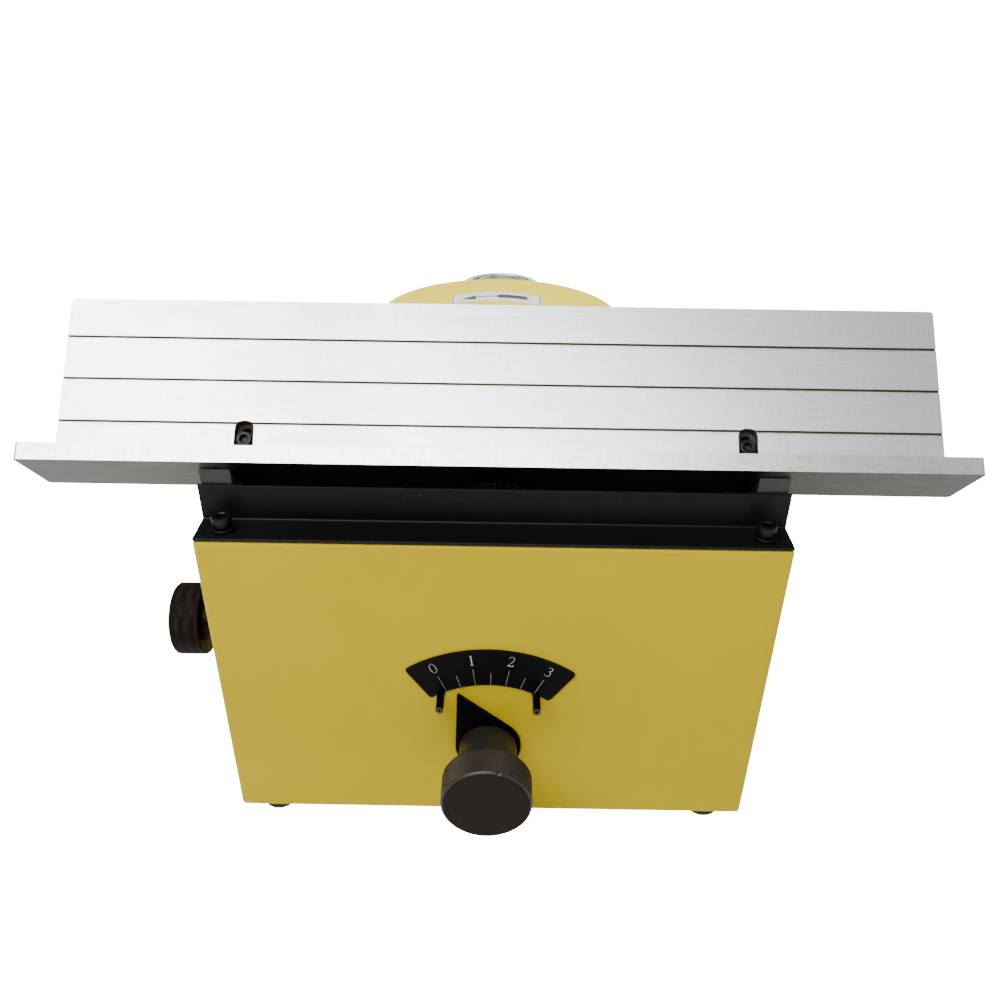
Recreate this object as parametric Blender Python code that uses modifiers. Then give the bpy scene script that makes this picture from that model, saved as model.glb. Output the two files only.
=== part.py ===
"""Bench chamfering machine with a V guide, a depth dial and a curve table, modelled in metres with +Z up.

X runs along the guides, -Y faces the operator and the feet stand on z = 0. Positions in the box are
worked out from FRONT (world y of the front panel) and TOP (world z of the box's top).
"""
import math

import bmesh
import bpy
from mathutils import Matrix, Vector

# ---- Clearances -----------------------------------------------------------------------------------------
GAP = 0.0003          # between pieces that touch or are screwed together
RUN = 0.0003          # radial clearance of a shaft in its bearing, room for the facets
EDGE = 0.0004         # broken edge of a machined piece

# ---- Sheet-metal box ------------------------------------------------------------------------------------
BOX_WIDTH = 0.302
BOX_DEPTH = 0.310
BOX_HEIGHT = 0.186
BOX_X = -0.002        # the guides overhang the box 2 mm more on the right
SHEET = 0.002
BASE_THICKNESS = 0.003
FOOT_HEIGHT = 0.008
FOOT_RADIUS = 0.0105
FOOT_INSET_X = 0.0204
FOOT_INSET_Y = 0.0134
VENT_COUNT = 6
VENT_PITCH = 0.010
VENT_SIZE = (0.060, 0.004)

# ---- V guides -------------------------------------------------------------------------------------------
GUIDE_LENGTH = 0.480
FENCE_THICKNESS = 0.010
GUIDE_SLOPE = math.radians(45)
FRONT_GUIDE_WIDTH = 0.0406
FRONT_GUIDE_THICKNESS = 0.009
FENCE_WIDTH = 0.0986
GUIDE_SLIT = 0.0006   # each plate stops this short of the apex
APEX_BACK = 0.0513    # apex of the V behind the front panel
APEX_HEIGHT = 0.0141  # apex of the V above the box's top
CORNER_RADIUS = 0.002
GROOVE_PITCH = 0.0246
GROOVE_FIRST = 0.0266
GROOVE_SIZE = 0.001
GROOVE_COUNT = 3
FENCE_SCREW_OFFSET = 0.1364
FENCE_SCREW_UP = 0.018
FENCE_SLOT = (0.0105, 0.0204)
FENCE_SLOT_DEPTH = 0.0055
GUSSET_WIDTH = 0.016
GUSSET_HEIGHT = 0.060
SUPPORT_OFFSET = 0.141
SUPPORT_WIDTH = 0.016

# ---- Guard bracket on the box's front edge --------------------------------------------------------------
BRACKET_SHEET = 0.0015
BRACKET_FOOT = 0.0205
BRACKET_RISE = 0.0212
BRACKET_BOLT_OFFSET = 0.1374
BRACKET_BOLT_BACK = 0.010

# ---- Screws: head diameter, head height, shank diameter, key width --------------------------------------
M5 = (0.0085, 0.005, 0.005, 0.0045)
M6 = (0.010, 0.006, 0.006, 0.005)
M8 = (0.013, 0.007, 0.008, 0.006)
WASHER_RADIUS = 0.006
WASHER_THICKNESS = 0.0015
SHANK_CLEARANCE = 0.0003

# ---- Depth dial -----------------------------------------------------------------------------------------
DIAL_X = BOX_X - 0.0018
DIAL_DROP = 0.1325
KNOB_RADIUS = 0.0248
KNOB_HEAD = 0.019
KNOB_REACH = 0.0485
NECK_RADIUS = 0.0165
POINTER_THICKNESS = 0.0025
POINTER_HUB = 0.0187
POINTER_TIP = 0.0412
POINTER_REST = math.radians(-24.4)
READING_ZERO = math.radians(-30.4)
READING_FULL = math.radians(33.2)
CHAMFER_MAX = 0.003
PIN_RADIUS = 0.0022
PIN_CIRCLE = 0.0450
PIN_ANGLE = math.radians(36.0)
PIN_REACH = 0.0142
SCALE_CENTRE_DROP = 0.0123
SCALE_OUTER = 0.0804
SCALE_INNER = 0.056
SCALE_LEFT = math.radians(35.0)
SCALE_RIGHT = math.radians(36.7)
SCALE_THICKNESS = 0.0006
DIAL_SHAFT = 0.006
DIAL_SHAFT_FRONT = 0.020
CRANK_DISC_BACK = 0.0135
POINTER_LIFT = 0.001
CRANK_PIN = 0.004
CRANK_PIN_END = 0.0335

# ---- Spindle unit ---------------------------------------------------------------------------------------
SPINDLE_RADIUS = 0.0085
SPINDLE_NOSE = 0.012
BEARING_RADIUS = 0.020
BEARING_HEIGHT = 0.0117
CARRIAGE_TOP = 0.012
CARRIAGE_HEIGHT = 0.096
CARRIAGE_TUBE = 0.030
CARRIAGE_WING = (0.026, 0.044)
CARRIAGE_HALF = 0.060
CARRIAGE_TAIL = 0.022
ROD_RADIUS = 0.006
ROD_OFFSET = 0.048
CUTTER_RADIUS = 0.018
CUTTER_BASE = 0.002
INSERT_SIZE = (0.003, 0.009, 0.008)
INSERT_RISE = 0.0006
INSERT_COUNT = 3
FRONT_WINDOW = (0.0195, 0.0030)     # radius, and roof above the apex
FENCE_WINDOW = (0.0250, 0.0060)

# ---- Motor and belt drive -------------------------------------------------------------------------------
MOTOR_RADIUS = 0.050
MOTOR_CAP = 0.012
MOTOR_TOP = 0.032
MOTOR_LENGTH = 0.098
MOTOR_SHAFT = 0.007
STAND_SHEET = 0.004
STAND_HALF = 0.068
PULLEY_TOP = 0.1555
PULLEY_FLANGE = 0.0015
PULLEY_LAND = 0.014
PULLEY_LIP = 0.003
SPINDLE_PULLEY = 0.020
MOTOR_PULLEY = 0.030
BELT_TOP = 0.158
BELT_WIDTH = 0.010
BELT_THICKNESS = 0.003

# ---- Curve table ----------------------------------------------------------------------------------------
TABLE_BACK = 0.1873
TABLE_RADIUS = 0.0745
TABLE_RISE = 0.058
TABLE_THICKNESS = 0.004
TABLE_HOLE = 0.018
COLUMN_OUTER = 0.024
COLUMN_INNER = 0.020
COLUMN_FOOT = 0.020
COLLAR_OUTER = 0.034
COLLAR_HEIGHT = 0.014
ARM_BOTTOM = 0.024
ARM_THICKNESS = 0.008
ARM_HALF = 0.014
CURVE_CUTTER_RADIUS = 0.015
CURVE_CUTTER_HEIGHT = 0.012
CURVE_BEARING = (0.011, 0.007)
ARBOR_RADIUS = 0.004
WHEEL_BACK = 0.2772
WHEEL_RADIUS = 0.0274
WHEEL_TOP = 0.0505
WHEEL_RIM = 0.0105
LIFT_SCREW = 0.005
LIFT_NUT = 0.009

# ---- Lock knob on the left side -------------------------------------------------------------------------
LOCK_BACK = 0.038
LOCK_DROP = 0.075
LOCK_KNOB_RADIUS = 0.0207
LOCK_KNOB_HEAD = 0.017
LOCK_REACH = 0.030
LOCK_NECK = 0.013
LOCK_SCREW = 0.005
LOCK_PAD = 0.008
LOCK_PAD_LENGTH = 0.005

# ---- Mains switch and inlet on the rear panel -----------------------------------------------------------
SWITCH_X = 0.085
SWITCH_RISE = 0.115
SWITCH_SIZE = (0.021, 0.030)
SWITCH_DEPTH = 0.022
ROCKER_DEPTH = 0.006   # the rocker's pin lies this far inside its frame
ROCKER_CREST = 0.0078
ROCKER_HALF = 0.0113
ROCKER_TILT = math.radians(8)
INLET_RISE = 0.060
INLET_SIZE = (0.028, 0.020)
INLET_DEPTH = 0.022
FLANGE_LIP = 0.003
BLADE_PITCH = 0.007
BLADE_LENGTH = 0.008
FLANGE_THICKNESS = 0.002

# ---- Frame: origin at the bottom centre of the bounding box ---------------------------------------------
ROCKER_REACH = ROCKER_CREST * math.cos(ROCKER_TILT) + ROCKER_HALF * math.sin(ROCKER_TILT)
REAR_REACH = GAP + FLANGE_THICKNESS + ROCKER_REACH - ROCKER_DEPTH
FRONT = (KNOB_REACH - BOX_DEPTH - REAR_REACH) / 2
REAR = FRONT + BOX_DEPTH
TOP = FOOT_HEIGHT + BOX_HEIGHT
BASE_TOP = FOOT_HEIGHT + BASE_THICKNESS
SPINDLE_XY = Vector((BOX_X, FRONT + APEX_BACK))
TABLE_XY = Vector((BOX_X, FRONT + TABLE_BACK))
WHEEL_XY = Vector((BOX_X, FRONT + WHEEL_BACK))
DIAL_AXIS = Vector((DIAL_X, FRONT, TOP - DIAL_DROP))
APEX = Vector((0, FRONT + APEX_BACK, TOP + APEX_HEIGHT))
READING_SPAN = READING_FULL - READING_ZERO
CUT_TRAVEL = CHAMFER_MAX / math.sqrt(2)
REST_RISE = CUT_TRAVEL * (POINTER_REST - READING_ZERO) / READING_SPAN
CRANK_THROW = CUT_TRAVEL / 2 / math.sin(READING_SPAN / 2)

UP = Vector((0, 0, 1))
FORWARD = Vector((0, -1, 0))
RIGHT = Vector((1, 0, 0))


# ---- Scene and materials --------------------------------------------------------------------------------
def clear_scene():
    for old in list(bpy.data.objects):
        bpy.data.objects.remove(old)


def new_collection(name):
    collection = bpy.data.collections.new(name)
    bpy.context.scene.collection.children.link(collection)
    return collection


def material(name, colour, roughness, metallic=0.0):
    made = bpy.data.materials.new(name)
    made.use_nodes = True
    shader = made.node_tree.nodes["Principled BSDF"]
    shader.inputs["Base Color"].default_value = (*colour, 1)
    shader.inputs["Roughness"].default_value = roughness
    shader.inputs["Metallic"].default_value = metallic
    made.diffuse_color = (*colour, 1)
    return made


clear_scene()
PARTS = new_collection("bench_chamfering_machine")
CUTTERS = new_collection("cutters")
YELLOW = material("yellow_paint", (0.66, 0.49, 0.03), 0.4)
BLACK = material("black_paint", (0.012, 0.012, 0.013), 0.45)
STEEL = material("ground_steel", (0.62, 0.63, 0.65), 0.35, 1.0)
BARE = material("machined_steel", (0.40, 0.40, 0.42), 0.4, 1.0)
BROWNED = material("browned_steel", (0.060, 0.052, 0.046), 0.5, 0.6)
OXIDE = material("black_oxide", (0.022, 0.021, 0.020), 0.45, 0.7)
RUBBER = material("rubber", (0.014, 0.014, 0.014), 0.8)
CASTING = material("grey_casting", (0.12, 0.12, 0.125), 0.6, 0.3)
ALUMINIUM = material("aluminium", (0.72, 0.72, 0.71), 0.3, 1.0)
BRASS = material("brass", (0.62, 0.44, 0.16), 0.35, 1.0)
CARBIDE = material("carbide", (0.25, 0.24, 0.22), 0.3, 1.0)
PLASTIC = material("black_plastic", (0.02, 0.02, 0.022), 0.5)


# ---- Modelling helpers ----------------------------------------------------------------------------------
def place(name, mesh, surface, location=(0, 0, 0), rotation=None):
    """Add a mesh as a named part, or as a cutter when it has no surface."""
    obj = bpy.data.objects.new(name, mesh)
    obj.location = location
    if rotation is not None:
        obj.rotation_euler = rotation.to_euler()
    if surface is None:
        CUTTERS.objects.link(obj)
        obj.hide_render = True
        obj.display_type = "WIRE"
        return obj
    PARTS.objects.link(obj)
    mesh.materials.append(surface)
    return obj


def to_mesh(name, bm, smooth=False):
    mesh = bpy.data.meshes.new(name)
    bm.to_mesh(mesh)
    bm.free()
    if smooth:
        mesh.shade_smooth()
        mesh.set_sharp_from_angle(angle=math.radians(35))
    return mesh


def facing(axis):
    """The rotation that turns +Z to the axis."""
    return UP.rotation_difference(Vector(axis)).to_matrix()


def box(name, low, high, surface, edge=EDGE):
    low, high = Vector(low), Vector(high)
    bm = bmesh.new()
    bmesh.ops.create_cube(bm, size=1)
    bmesh.ops.scale(bm, vec=high - low, verts=bm.verts)
    obj = place(name, to_mesh(name, bm), surface, (low + high) / 2)
    if surface and edge:
        bevel(obj, edge)
    return obj


def rod(name, start, end, radius, surface, steps=24):
    start, end = Vector(start), Vector(end)
    bm = bmesh.new()
    bmesh.ops.create_cone(
        bm, cap_ends=True, segments=steps, radius1=radius, radius2=radius, depth=(end - start).length)
    return place(name, to_mesh(name, bm, True), surface, (start + end) / 2, facing(end - start))


def turned(name, profile, origin, surface, axis=UP, steps=24, closed=False):
    """Spin a profile of (radius, height) points, from the top down its outer side, about the axis."""
    bm = bmesh.new()
    points = [bm.verts.new((radius, 0, height)) for radius, height in profile]
    for a, b in zip(points, points[1:]):
        bm.edges.new((a, b))
    if closed:
        bm.edges.new((points[-1], points[0]))
    obj = place(name, to_mesh(name, bm), surface, origin, facing(axis))
    screw = obj.modifiers.new("turn", "SCREW")
    screw.steps = steps
    screw.render_steps = steps
    screw.use_merge_vertices = True
    screw.merge_threshold = 0.00001
    return obj


def ring(name, inner, outer, low, high, origin, surface, axis=UP, steps=24, edge=EDGE):
    profile = [
        (inner, high), (outer - edge, high), (outer, high - edge),
        (outer, low + edge), (outer - edge, low), (inner, low)]
    return turned(name, profile, origin, surface, axis, steps, closed=True)


def outline_solid(name, outlines, thickness, surface, location=(0, 0, 0), rotation=None):
    """Extrude flat closed outlines, the first outside and any others as holes, along local +Z and -Z."""
    curve = bpy.data.curves.new(name, "CURVE")
    curve.dimensions = "2D"
    curve.fill_mode = "BOTH"
    curve.extrude = thickness / 2
    for outline in outlines:
        spline = curve.splines.new("POLY")
        spline.points.add(len(outline) - 1)
        spline.use_cyclic_u = True
        for point, (x, y) in zip(spline.points, outline):
            point.co = (x, y, 0, 1)
    temporary = bpy.data.objects.new(name, curve)
    bpy.context.scene.collection.objects.link(temporary)
    depsgraph = bpy.context.evaluated_depsgraph_get()
    mesh = bpy.data.meshes.new_from_object(temporary.evaluated_get(depsgraph))
    bpy.data.objects.remove(temporary)
    mesh.materials.clear()
    bm = bmesh.new()
    bm.from_mesh(mesh)
    bmesh.ops.remove_doubles(bm, verts=bm.verts, dist=0.000001)
    bmesh.ops.recalc_face_normals(bm, faces=bm.faces)
    bm.to_mesh(mesh)
    bm.free()
    mesh.name = name
    return place(name, mesh, surface, location, rotation)


def bevel(obj, width, segments=1, angle=40):
    modifier = obj.modifiers.new("edges", "BEVEL")
    modifier.width = width
    modifier.segments = segments
    modifier.limit_method = "ANGLE"
    modifier.angle_limit = math.radians(angle)


def boolean(obj, other, operation="DIFFERENCE"):
    modifier = obj.modifiers.new(other.name, "BOOLEAN")
    modifier.operation = operation
    modifier.solver = "EXACT"
    modifier.object = other


def drill(obj, name, start, end, radius, steps=20):
    boolean(obj, rod(f"cut_{name}", start, end, radius, None, steps))


def polar(centre, radius, angle):
    """A point at an angle measured clockwise from the outline's +Y."""
    return (centre[0] + radius * math.sin(angle), centre[1] + radius * math.cos(angle))


def arc(centre, radius, first, last, steps):
    return [polar(centre, radius, first + (last - first) * step / steps) for step in range(steps + 1)]


def rounded(width, height, radius, steps=4):
    """A rectangle's outline with round corners."""
    corners = ((1, 1, 0), (1, -1, 90), (-1, -1, 180), (-1, 1, 270))
    points = []
    for x, y, start in corners:
        centre = (x * (width / 2 - radius), y * (height / 2 - radius))
        points += arc(centre, radius, math.radians(start), math.radians(start + 90), steps)
    return points


def socket_screw(name, size, seat, length, surface, axis=UP):
    """A socket-head cap screw whose head stands on the seat and points along the axis."""
    head_diameter, head_height, shank_diameter, key = size
    head, shank, edge = head_diameter / 2, shank_diameter / 2, head_diameter * 0.05
    profile = [
        (0, head_height), (head - edge, head_height), (head, head_height - edge), (head, 0),
        (shank, 0), (shank, -length), (0, -length)]
    screw = turned(name, profile, seat, surface, axis, 20)
    seat, axis = Vector(seat), Vector(axis)
    low, high = seat + axis * head_height * 0.45, seat + axis * head_height * 1.2
    boolean(screw, rod(f"cut_{name}", low, high, key / math.sqrt(3), None, 6))
    return screw


def pivot(name, location, children):
    """Parent pieces to an empty on their joint's axis, where they lie."""
    empty = bpy.data.objects.new(name, None)
    empty.location = location
    empty.empty_display_size = 0.02
    PARTS.objects.link(empty)
    for child in children:
        child.parent = empty
        child.matrix_parent_inverse = Matrix.Translation(-Vector(location))
    return empty


def in_box(x, back, rise):
    """World place of a point from the box's middle, its front panel and its top."""
    return Vector((BOX_X + x, FRONT + back, TOP + rise))


def at(xy, rise):
    return Vector((xy.x, xy.y, TOP + rise))


# ---- Box ------------------------------------------------------------------------------------------------
def housing_shell():
    """Front, sides and top folded from one sheet, open at the bottom and the rear."""
    half = BOX_WIDTH / 2
    low, high = in_box(-half, 0, -BOX_HEIGHT), in_box(half, BOX_DEPTH, 0)
    bm = bmesh.new()
    bmesh.ops.create_cube(bm, size=1)
    bmesh.ops.scale(bm, vec=high - low, verts=bm.verts)
    open_faces = [face for face in bm.faces if face.normal.z < -0.5 or face.normal.y > 0.5]
    bmesh.ops.delete(bm, geom=open_faces, context="FACES_ONLY")
    shell = place("housing_shell", to_mesh("housing_shell", bm), YELLOW, (low + high) / 2)
    wall = shell.modifiers.new("sheet", "SOLIDIFY")
    wall.thickness = SHEET
    wall.offset = -1
    wall.use_even_offset = True
    wall.use_quality_normals = True
    through = SHEET * 3
    drill(shell, "shell_cutter", at(SPINDLE_XY, -through), at(SPINDLE_XY, through), CUTTER_RADIUS + 0.002, 32)
    drill(shell, "shell_column", at(TABLE_XY, -through), at(TABLE_XY, through), COLUMN_OUTER + 0.001, 32)
    drill(shell, "shell_nut", at(WHEEL_XY, -through), at(WHEEL_XY, through), LIFT_NUT + GAP)
    back = Vector((0, through, 0))
    drill(shell, "shell_bush", DIAL_AXIS - back, DIAL_AXIS + back, DIAL_SHAFT + 0.004 + GAP)
    for side, centre in zip(("left", "right"), pin_places()):
        drill(shell, f"shell_pin_{side}", centre - back, centre + back, PIN_RADIUS + GAP, 16)
    lock = in_box(-half, LOCK_BACK, -LOCK_DROP)
    drill(shell, "shell_lock", lock - RIGHT * through, lock + RIGHT * through, LOCK_SCREW + GAP)
    for side, sign in (("left", -1), ("right", 1)):
        bolt = in_box(sign * BRACKET_BOLT_OFFSET, BRACKET_BOLT_BACK, 0)
        hole = M6[2] / 2 + SHANK_CLEARANCE
        drill(shell, f"shell_bolt_{side}", bolt - UP * through, bolt + UP * through, hole, 16)


def base_and_feet():
    half = BOX_WIDTH / 2 - SHEET - GAP
    box("base_plate", in_box(-half, SHEET + GAP, -BOX_HEIGHT),
        in_box(half, BOX_DEPTH - GAP, BASE_THICKNESS - BOX_HEIGHT), BLACK)
    bottom = FOOT_HEIGHT - GAP
    crown = 0.0015
    profile = [
        (0, bottom), (FOOT_RADIUS - crown, bottom), (FOOT_RADIUS, bottom - crown),
        (FOOT_RADIUS, crown), (FOOT_RADIUS - crown, 0), (0, 0)]
    reach_x = BOX_WIDTH / 2 - FOOT_INSET_X
    reach_y = BOX_DEPTH / 2 - FOOT_INSET_Y
    for end, sy in (("front", -1), ("rear", 1)):
        for side, sx in (("left", -1), ("right", 1)):
            origin = (BOX_X + sx * reach_x, FRONT + BOX_DEPTH / 2 + sy * reach_y, 0)
            turned(f"foot_{end}_{side}", profile, origin, RUBBER, steps=20)


def rear_panel():
    half = BOX_WIDTH / 2 - SHEET - GAP
    panel = box("rear_panel", in_box(-half, BOX_DEPTH - SHEET, BASE_THICKNESS + GAP - BOX_HEIGHT),
                in_box(half, BOX_DEPTH, -SHEET - GAP), YELLOW)
    through = SHEET * 2
    for name, size, rise in (("switch", SWITCH_SIZE, SWITCH_RISE), ("inlet", INLET_SIZE, INLET_RISE)):
        centre = Vector((BOX_X + SWITCH_X, REAR, rise))
        reach = Vector((size[0] / 2 + GAP, through, size[1] / 2 + GAP))
        boolean(panel, box(f"cut_panel_{name}", centre - reach, centre + reach, None))
    for index in range(VENT_COUNT):
        rise = SWITCH_RISE + (index - (VENT_COUNT - 1) / 2) * VENT_PITCH
        centre = Vector((BOX_X - SWITCH_X, REAR, rise))
        slot = outline_solid(f"cut_vent_{index}", [rounded(*VENT_SIZE, VENT_SIZE[1] / 2 - EDGE)],
                             through * 2, None, centre, facing(FORWARD))
        boolean(panel, slot)


def mains_fittings():
    """Rocker switch and appliance inlet, both clipped into the rear panel."""
    outside = REAR + GAP + FLANGE_THICKNESS
    for name, size, rise, depth in (
            ("switch_body", SWITCH_SIZE, SWITCH_RISE, SWITCH_DEPTH),
            ("mains_inlet", INLET_SIZE, INLET_RISE, INLET_DEPTH)):
        centre = Vector((BOX_X + SWITCH_X, outside - FLANGE_THICKNESS / 2, rise))
        outline = rounded(size[0] + 2 * FLANGE_LIP, size[1] + 2 * FLANGE_LIP, 0.002)
        fitting = outline_solid(name, [outline], FLANGE_THICKNESS, PLASTIC, centre, facing(FORWARD))
        reach = Vector((size[0] / 2, 0, size[1] / 2))
        inner = Vector((centre.x, REAR - depth, rise))
        outer = Vector((centre.x, outside - FLANGE_THICKNESS / 2, rise))
        boolean(fitting, box(f"add_{name}", inner - reach, outer + reach, None), "UNION")
        wall = Vector((0.0025, 0, 0.0025))
        floor = Vector((centre.x, outside - depth * 0.7, rise))
        mouth = Vector((centre.x, outside + SHEET, rise))
        boolean(fitting, box(f"cut_{name}", floor - reach + wall, mouth + reach - wall, None))
    rocker_switch(outside)
    inlet = bpy.data.objects["mains_inlet"]
    for index, offset in enumerate((-BLADE_PITCH, 0, BLADE_PITCH)):
        foot = Vector((BOX_X + SWITCH_X + offset, outside - INLET_DEPTH * 0.7 - GAP, INLET_RISE))
        size = Vector((0.001, 0, 0.002))
        blade = box(f"add_blade_{index}", foot - size, foot + size + Vector((0, BLADE_LENGTH, 0)), None)
        boolean(inlet, blade, "UNION")


def rocker_switch(outside):
    """A rocker on a cross pin, at rest with its lower end pressed in."""
    width = SWITCH_SIZE[0] - 0.005 - 4 * GAP
    axis = Vector((BOX_X + SWITCH_X, outside - ROCKER_DEPTH, SWITCH_RISE))
    reach, foot, dip = ROCKER_HALF, -0.001, ROCKER_CREST - 0.0016
    outline = [(foot, -reach), (ROCKER_CREST, -reach), (dip, 0), (ROCKER_CREST, reach), (foot, reach)]
    rocker = cross_section("switch_rocker", outline, width, 0, PLASTIC)
    tilt = Matrix.Rotation(ROCKER_TILT, 3, "X")
    rocker.rotation_euler = (tilt @ rocker.rotation_euler.to_matrix()).to_euler()
    rocker.location = axis
    bevel(rocker, EDGE)
    pivot("rocker_axis", axis, [rocker])


# ---- Guides ---------------------------------------------------------------------------------------------
def v_plate(name, low, high, window_size):
    """A ground plate in the V's own frame: local Y up the fence, local Z up the front guide."""
    low = Vector((-GUIDE_LENGTH / 2, *low))
    high = Vector((GUIDE_LENGTH / 2, *high))
    bm = bmesh.new()
    bmesh.ops.create_cube(bm, size=1)
    bmesh.ops.scale(bm, vec=high - low, verts=bm.verts)
    bmesh.ops.translate(bm, vec=(low + high) / 2, verts=bm.verts)
    thin = min(range(3), key=lambda axis: (high - low)[axis])
    short = [edge for edge in bm.edges if abs((edge.verts[0].co - edge.verts[1].co)[thin]) > 0.001]
    bmesh.ops.bevel(bm, geom=short, offset=CORNER_RADIUS, segments=3, profile=0.5, affect="EDGES")
    plate = place(name, to_mesh(name, bm), STEEL, APEX, Matrix.Rotation(GUIDE_SLOPE, 3, "X"))
    radius, rise = window_size
    window = at(SPINDLE_XY, 0)
    drill(plate, f"window_{name}", window - UP * 0.02, window + UP * (APEX_HEIGHT + rise), radius, 28)
    return plate


def up_fence(x, along, out):
    """World place of a point given along the fence's slope and out of its face."""
    return APEX + Matrix.Rotation(GUIDE_SLOPE, 3, "X") @ Vector((x, along, out))


def guides():
    v_plate("front_guide_plate", (-FRONT_GUIDE_THICKNESS, GUIDE_SLIT), (0, FRONT_GUIDE_WIDTH), FRONT_WINDOW)
    bevel(bpy.data.objects["front_guide_plate"], EDGE)
    fence = v_plate("fence_plate", (GUIDE_SLIT, -FENCE_THICKNESS), (FENCE_WIDTH, 0), FENCE_WINDOW)
    turn = Matrix.Rotation(GUIDE_SLOPE, 3, "X")
    for index in range(GROOVE_COUNT):
        along = GROOVE_FIRST + index * GROOVE_PITCH
        groove = box(f"cut_groove_{index}", (-GUIDE_LENGTH, -GROOVE_SIZE / 2, -GROOVE_SIZE),
                     (GUIDE_LENGTH, GROOVE_SIZE / 2, GROOVE_SIZE), None)
        groove.location = up_fence(0, along, 0)
        groove.rotation_euler = turn.to_euler()
        boolean(fence, groove)
    normal = turn @ UP
    play = (FENCE_SLOT[1] - FENCE_SLOT[0]) / 2
    for side, sign in (("left", -1), ("right", 1)):
        x = BOX_X + sign * FENCE_SCREW_OFFSET
        recess = up_fence(x, FENCE_SCREW_UP, 0)
        outline = rounded(*FENCE_SLOT, FENCE_SLOT[0] / 2 - EDGE)
        deep = 2 * FENCE_SLOT_DEPTH
        boolean(fence, outline_solid(f"cut_recess_{side}", [outline], deep, None, recess, turn))
        narrow = M5[2] + 2 * GAP
        outline = rounded(narrow, narrow + 2 * play, narrow / 2 - EDGE)
        through = 3 * FENCE_THICKNESS
        boolean(fence, outline_solid(f"cut_slot_{side}", [outline], through, None, recess, turn))
        seat = up_fence(x, FENCE_SCREW_UP, GAP - FENCE_SLOT_DEPTH)
        socket_screw(f"fence_screw_{side}", M5, seat, 0.018, OXIDE, normal)
        gusset(side, x, seat, normal)
        support(side, BOX_X + sign * SUPPORT_OFFSET)
    bevel(fence, EDGE, angle=60)


def cross_section(name, points, width, x, surface):
    """Extrude an outline of (y, z) points across X."""
    middle = Matrix(((0, 0, 1), (1, 0, 0), (0, 1, 0)))
    return outline_solid(name, [points], width, surface, (x, 0, 0), middle)


def gusset(side, x, seat, normal):
    """A triangular block under the fence, tapped for the fence screw."""
    foot = APEX.y - APEX.z + (FENCE_THICKNESS + GAP) * math.sqrt(2)
    low = TOP + GAP
    high = low + GUSSET_HEIGHT
    nose, back = 0.003, 0.012
    outline = [
        (foot + low + nose, low), (foot + low + nose, low + nose), (foot + high, high),
        (foot + high + back, high), (foot + high + back, low)]
    block = cross_section(f"fence_gusset_{side}", outline, GUSSET_WIDTH, x, OXIDE)
    drill(block, f"gusset_{side}", seat, seat - normal * 0.030, M5[2] / 2 + SHANK_CLEARANCE, 16)
    bevel(block, EDGE)


def support(side, x):
    """A wedge behind the guard bracket that carries the front guide's underside."""
    face = APEX.y + APEX.z - (FRONT_GUIDE_THICKNESS + GAP) * math.sqrt(2)
    front = FRONT + BRACKET_FOOT + BRACKET_SHEET + GAP
    low = TOP + GAP
    outline = [(front, low), (front, face - front), (face - low, low)]
    block = cross_section(f"guide_support_{side}", outline, SUPPORT_WIDTH, x, OXIDE)
    bevel(block, EDGE)


def guard_bracket():
    low = TOP + GAP
    foot, rise = FRONT + BRACKET_FOOT, TOP + BRACKET_RISE
    outline = [
        (FRONT + GAP, low), (FRONT + GAP, low + BRACKET_SHEET), (foot, low + BRACKET_SHEET), (foot, rise),
        (foot + BRACKET_SHEET, rise), (foot + BRACKET_SHEET, low)]
    bracket = cross_section("guard_bracket", outline, BOX_WIDTH - 4 * GAP, BOX_X, BLACK)
    for side, sign in (("left", -1), ("right", 1)):
        seat = in_box(sign * BRACKET_BOLT_OFFSET, BRACKET_BOLT_BACK, 0)
        hole = M6[2] / 2 + SHANK_CLEARANCE
        drill(bracket, f"bracket_{side}", seat - UP * 0.003, seat + UP * 0.006, hole, 16)
        washer = seat + UP * (BRACKET_SHEET + 2 * GAP)
        ring(f"guard_washer_{side}", hole, WASHER_RADIUS, 0, WASHER_THICKNESS, washer, OXIDE,
             steps=20, edge=0.0002)
        head = washer + UP * (WASHER_THICKNESS + GAP)
        socket_screw(f"guard_screw_{side}", M6, head, 0.014, OXIDE)


# ---- Depth dial -----------------------------------------------------------------------------------------
def pin_places():
    """Where the two stop pins stand on the panel, left then right."""
    places = []
    for sign in (-1, 1):
        offset = Vector((sign * math.sin(PIN_ANGLE), 0, math.cos(PIN_ANGLE)))
        places.append(DIAL_AXIS + offset * PIN_CIRCLE)
    return places


def panel_outline(name, outline, thickness, surface, lift):
    """A flat piece in front of the panel, its outline in x and z about the dial's axis."""
    upright = Matrix(((1, 0, 0), (0, 0, -1), (0, 1, 0)))
    middle = DIAL_AXIS + FORWARD * (lift + thickness / 2)
    return outline_solid(name, [outline], thickness, surface, middle, upright)


def scale_plate():
    centre = (0, -SCALE_CENTRE_DROP)
    corner = 0.0025
    trim_outer, trim_inner = corner / SCALE_OUTER, corner / SCALE_INNER
    left, right = -SCALE_LEFT, SCALE_RIGHT
    outline = arc(centre, SCALE_OUTER, left + trim_outer, right - trim_outer, 16)
    outline += [polar(centre, radius, right) for radius in (SCALE_OUTER - corner, SCALE_INNER + corner)]
    outline += arc(centre, SCALE_INNER, right - trim_inner, left + trim_inner, 12)
    outline += [polar(centre, radius, left) for radius in (SCALE_INNER + corner, SCALE_OUTER - corner)]
    plate = panel_outline("scale_plate", outline, SCALE_THICKNESS, BLACK, GAP)
    through = FORWARD * 0.01
    for side, centre in zip(("left", "right"), pin_places()):
        drill(plate, f"scale_pin_{side}", centre + through, centre - through, PIN_RADIUS + GAP, 16)


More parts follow.
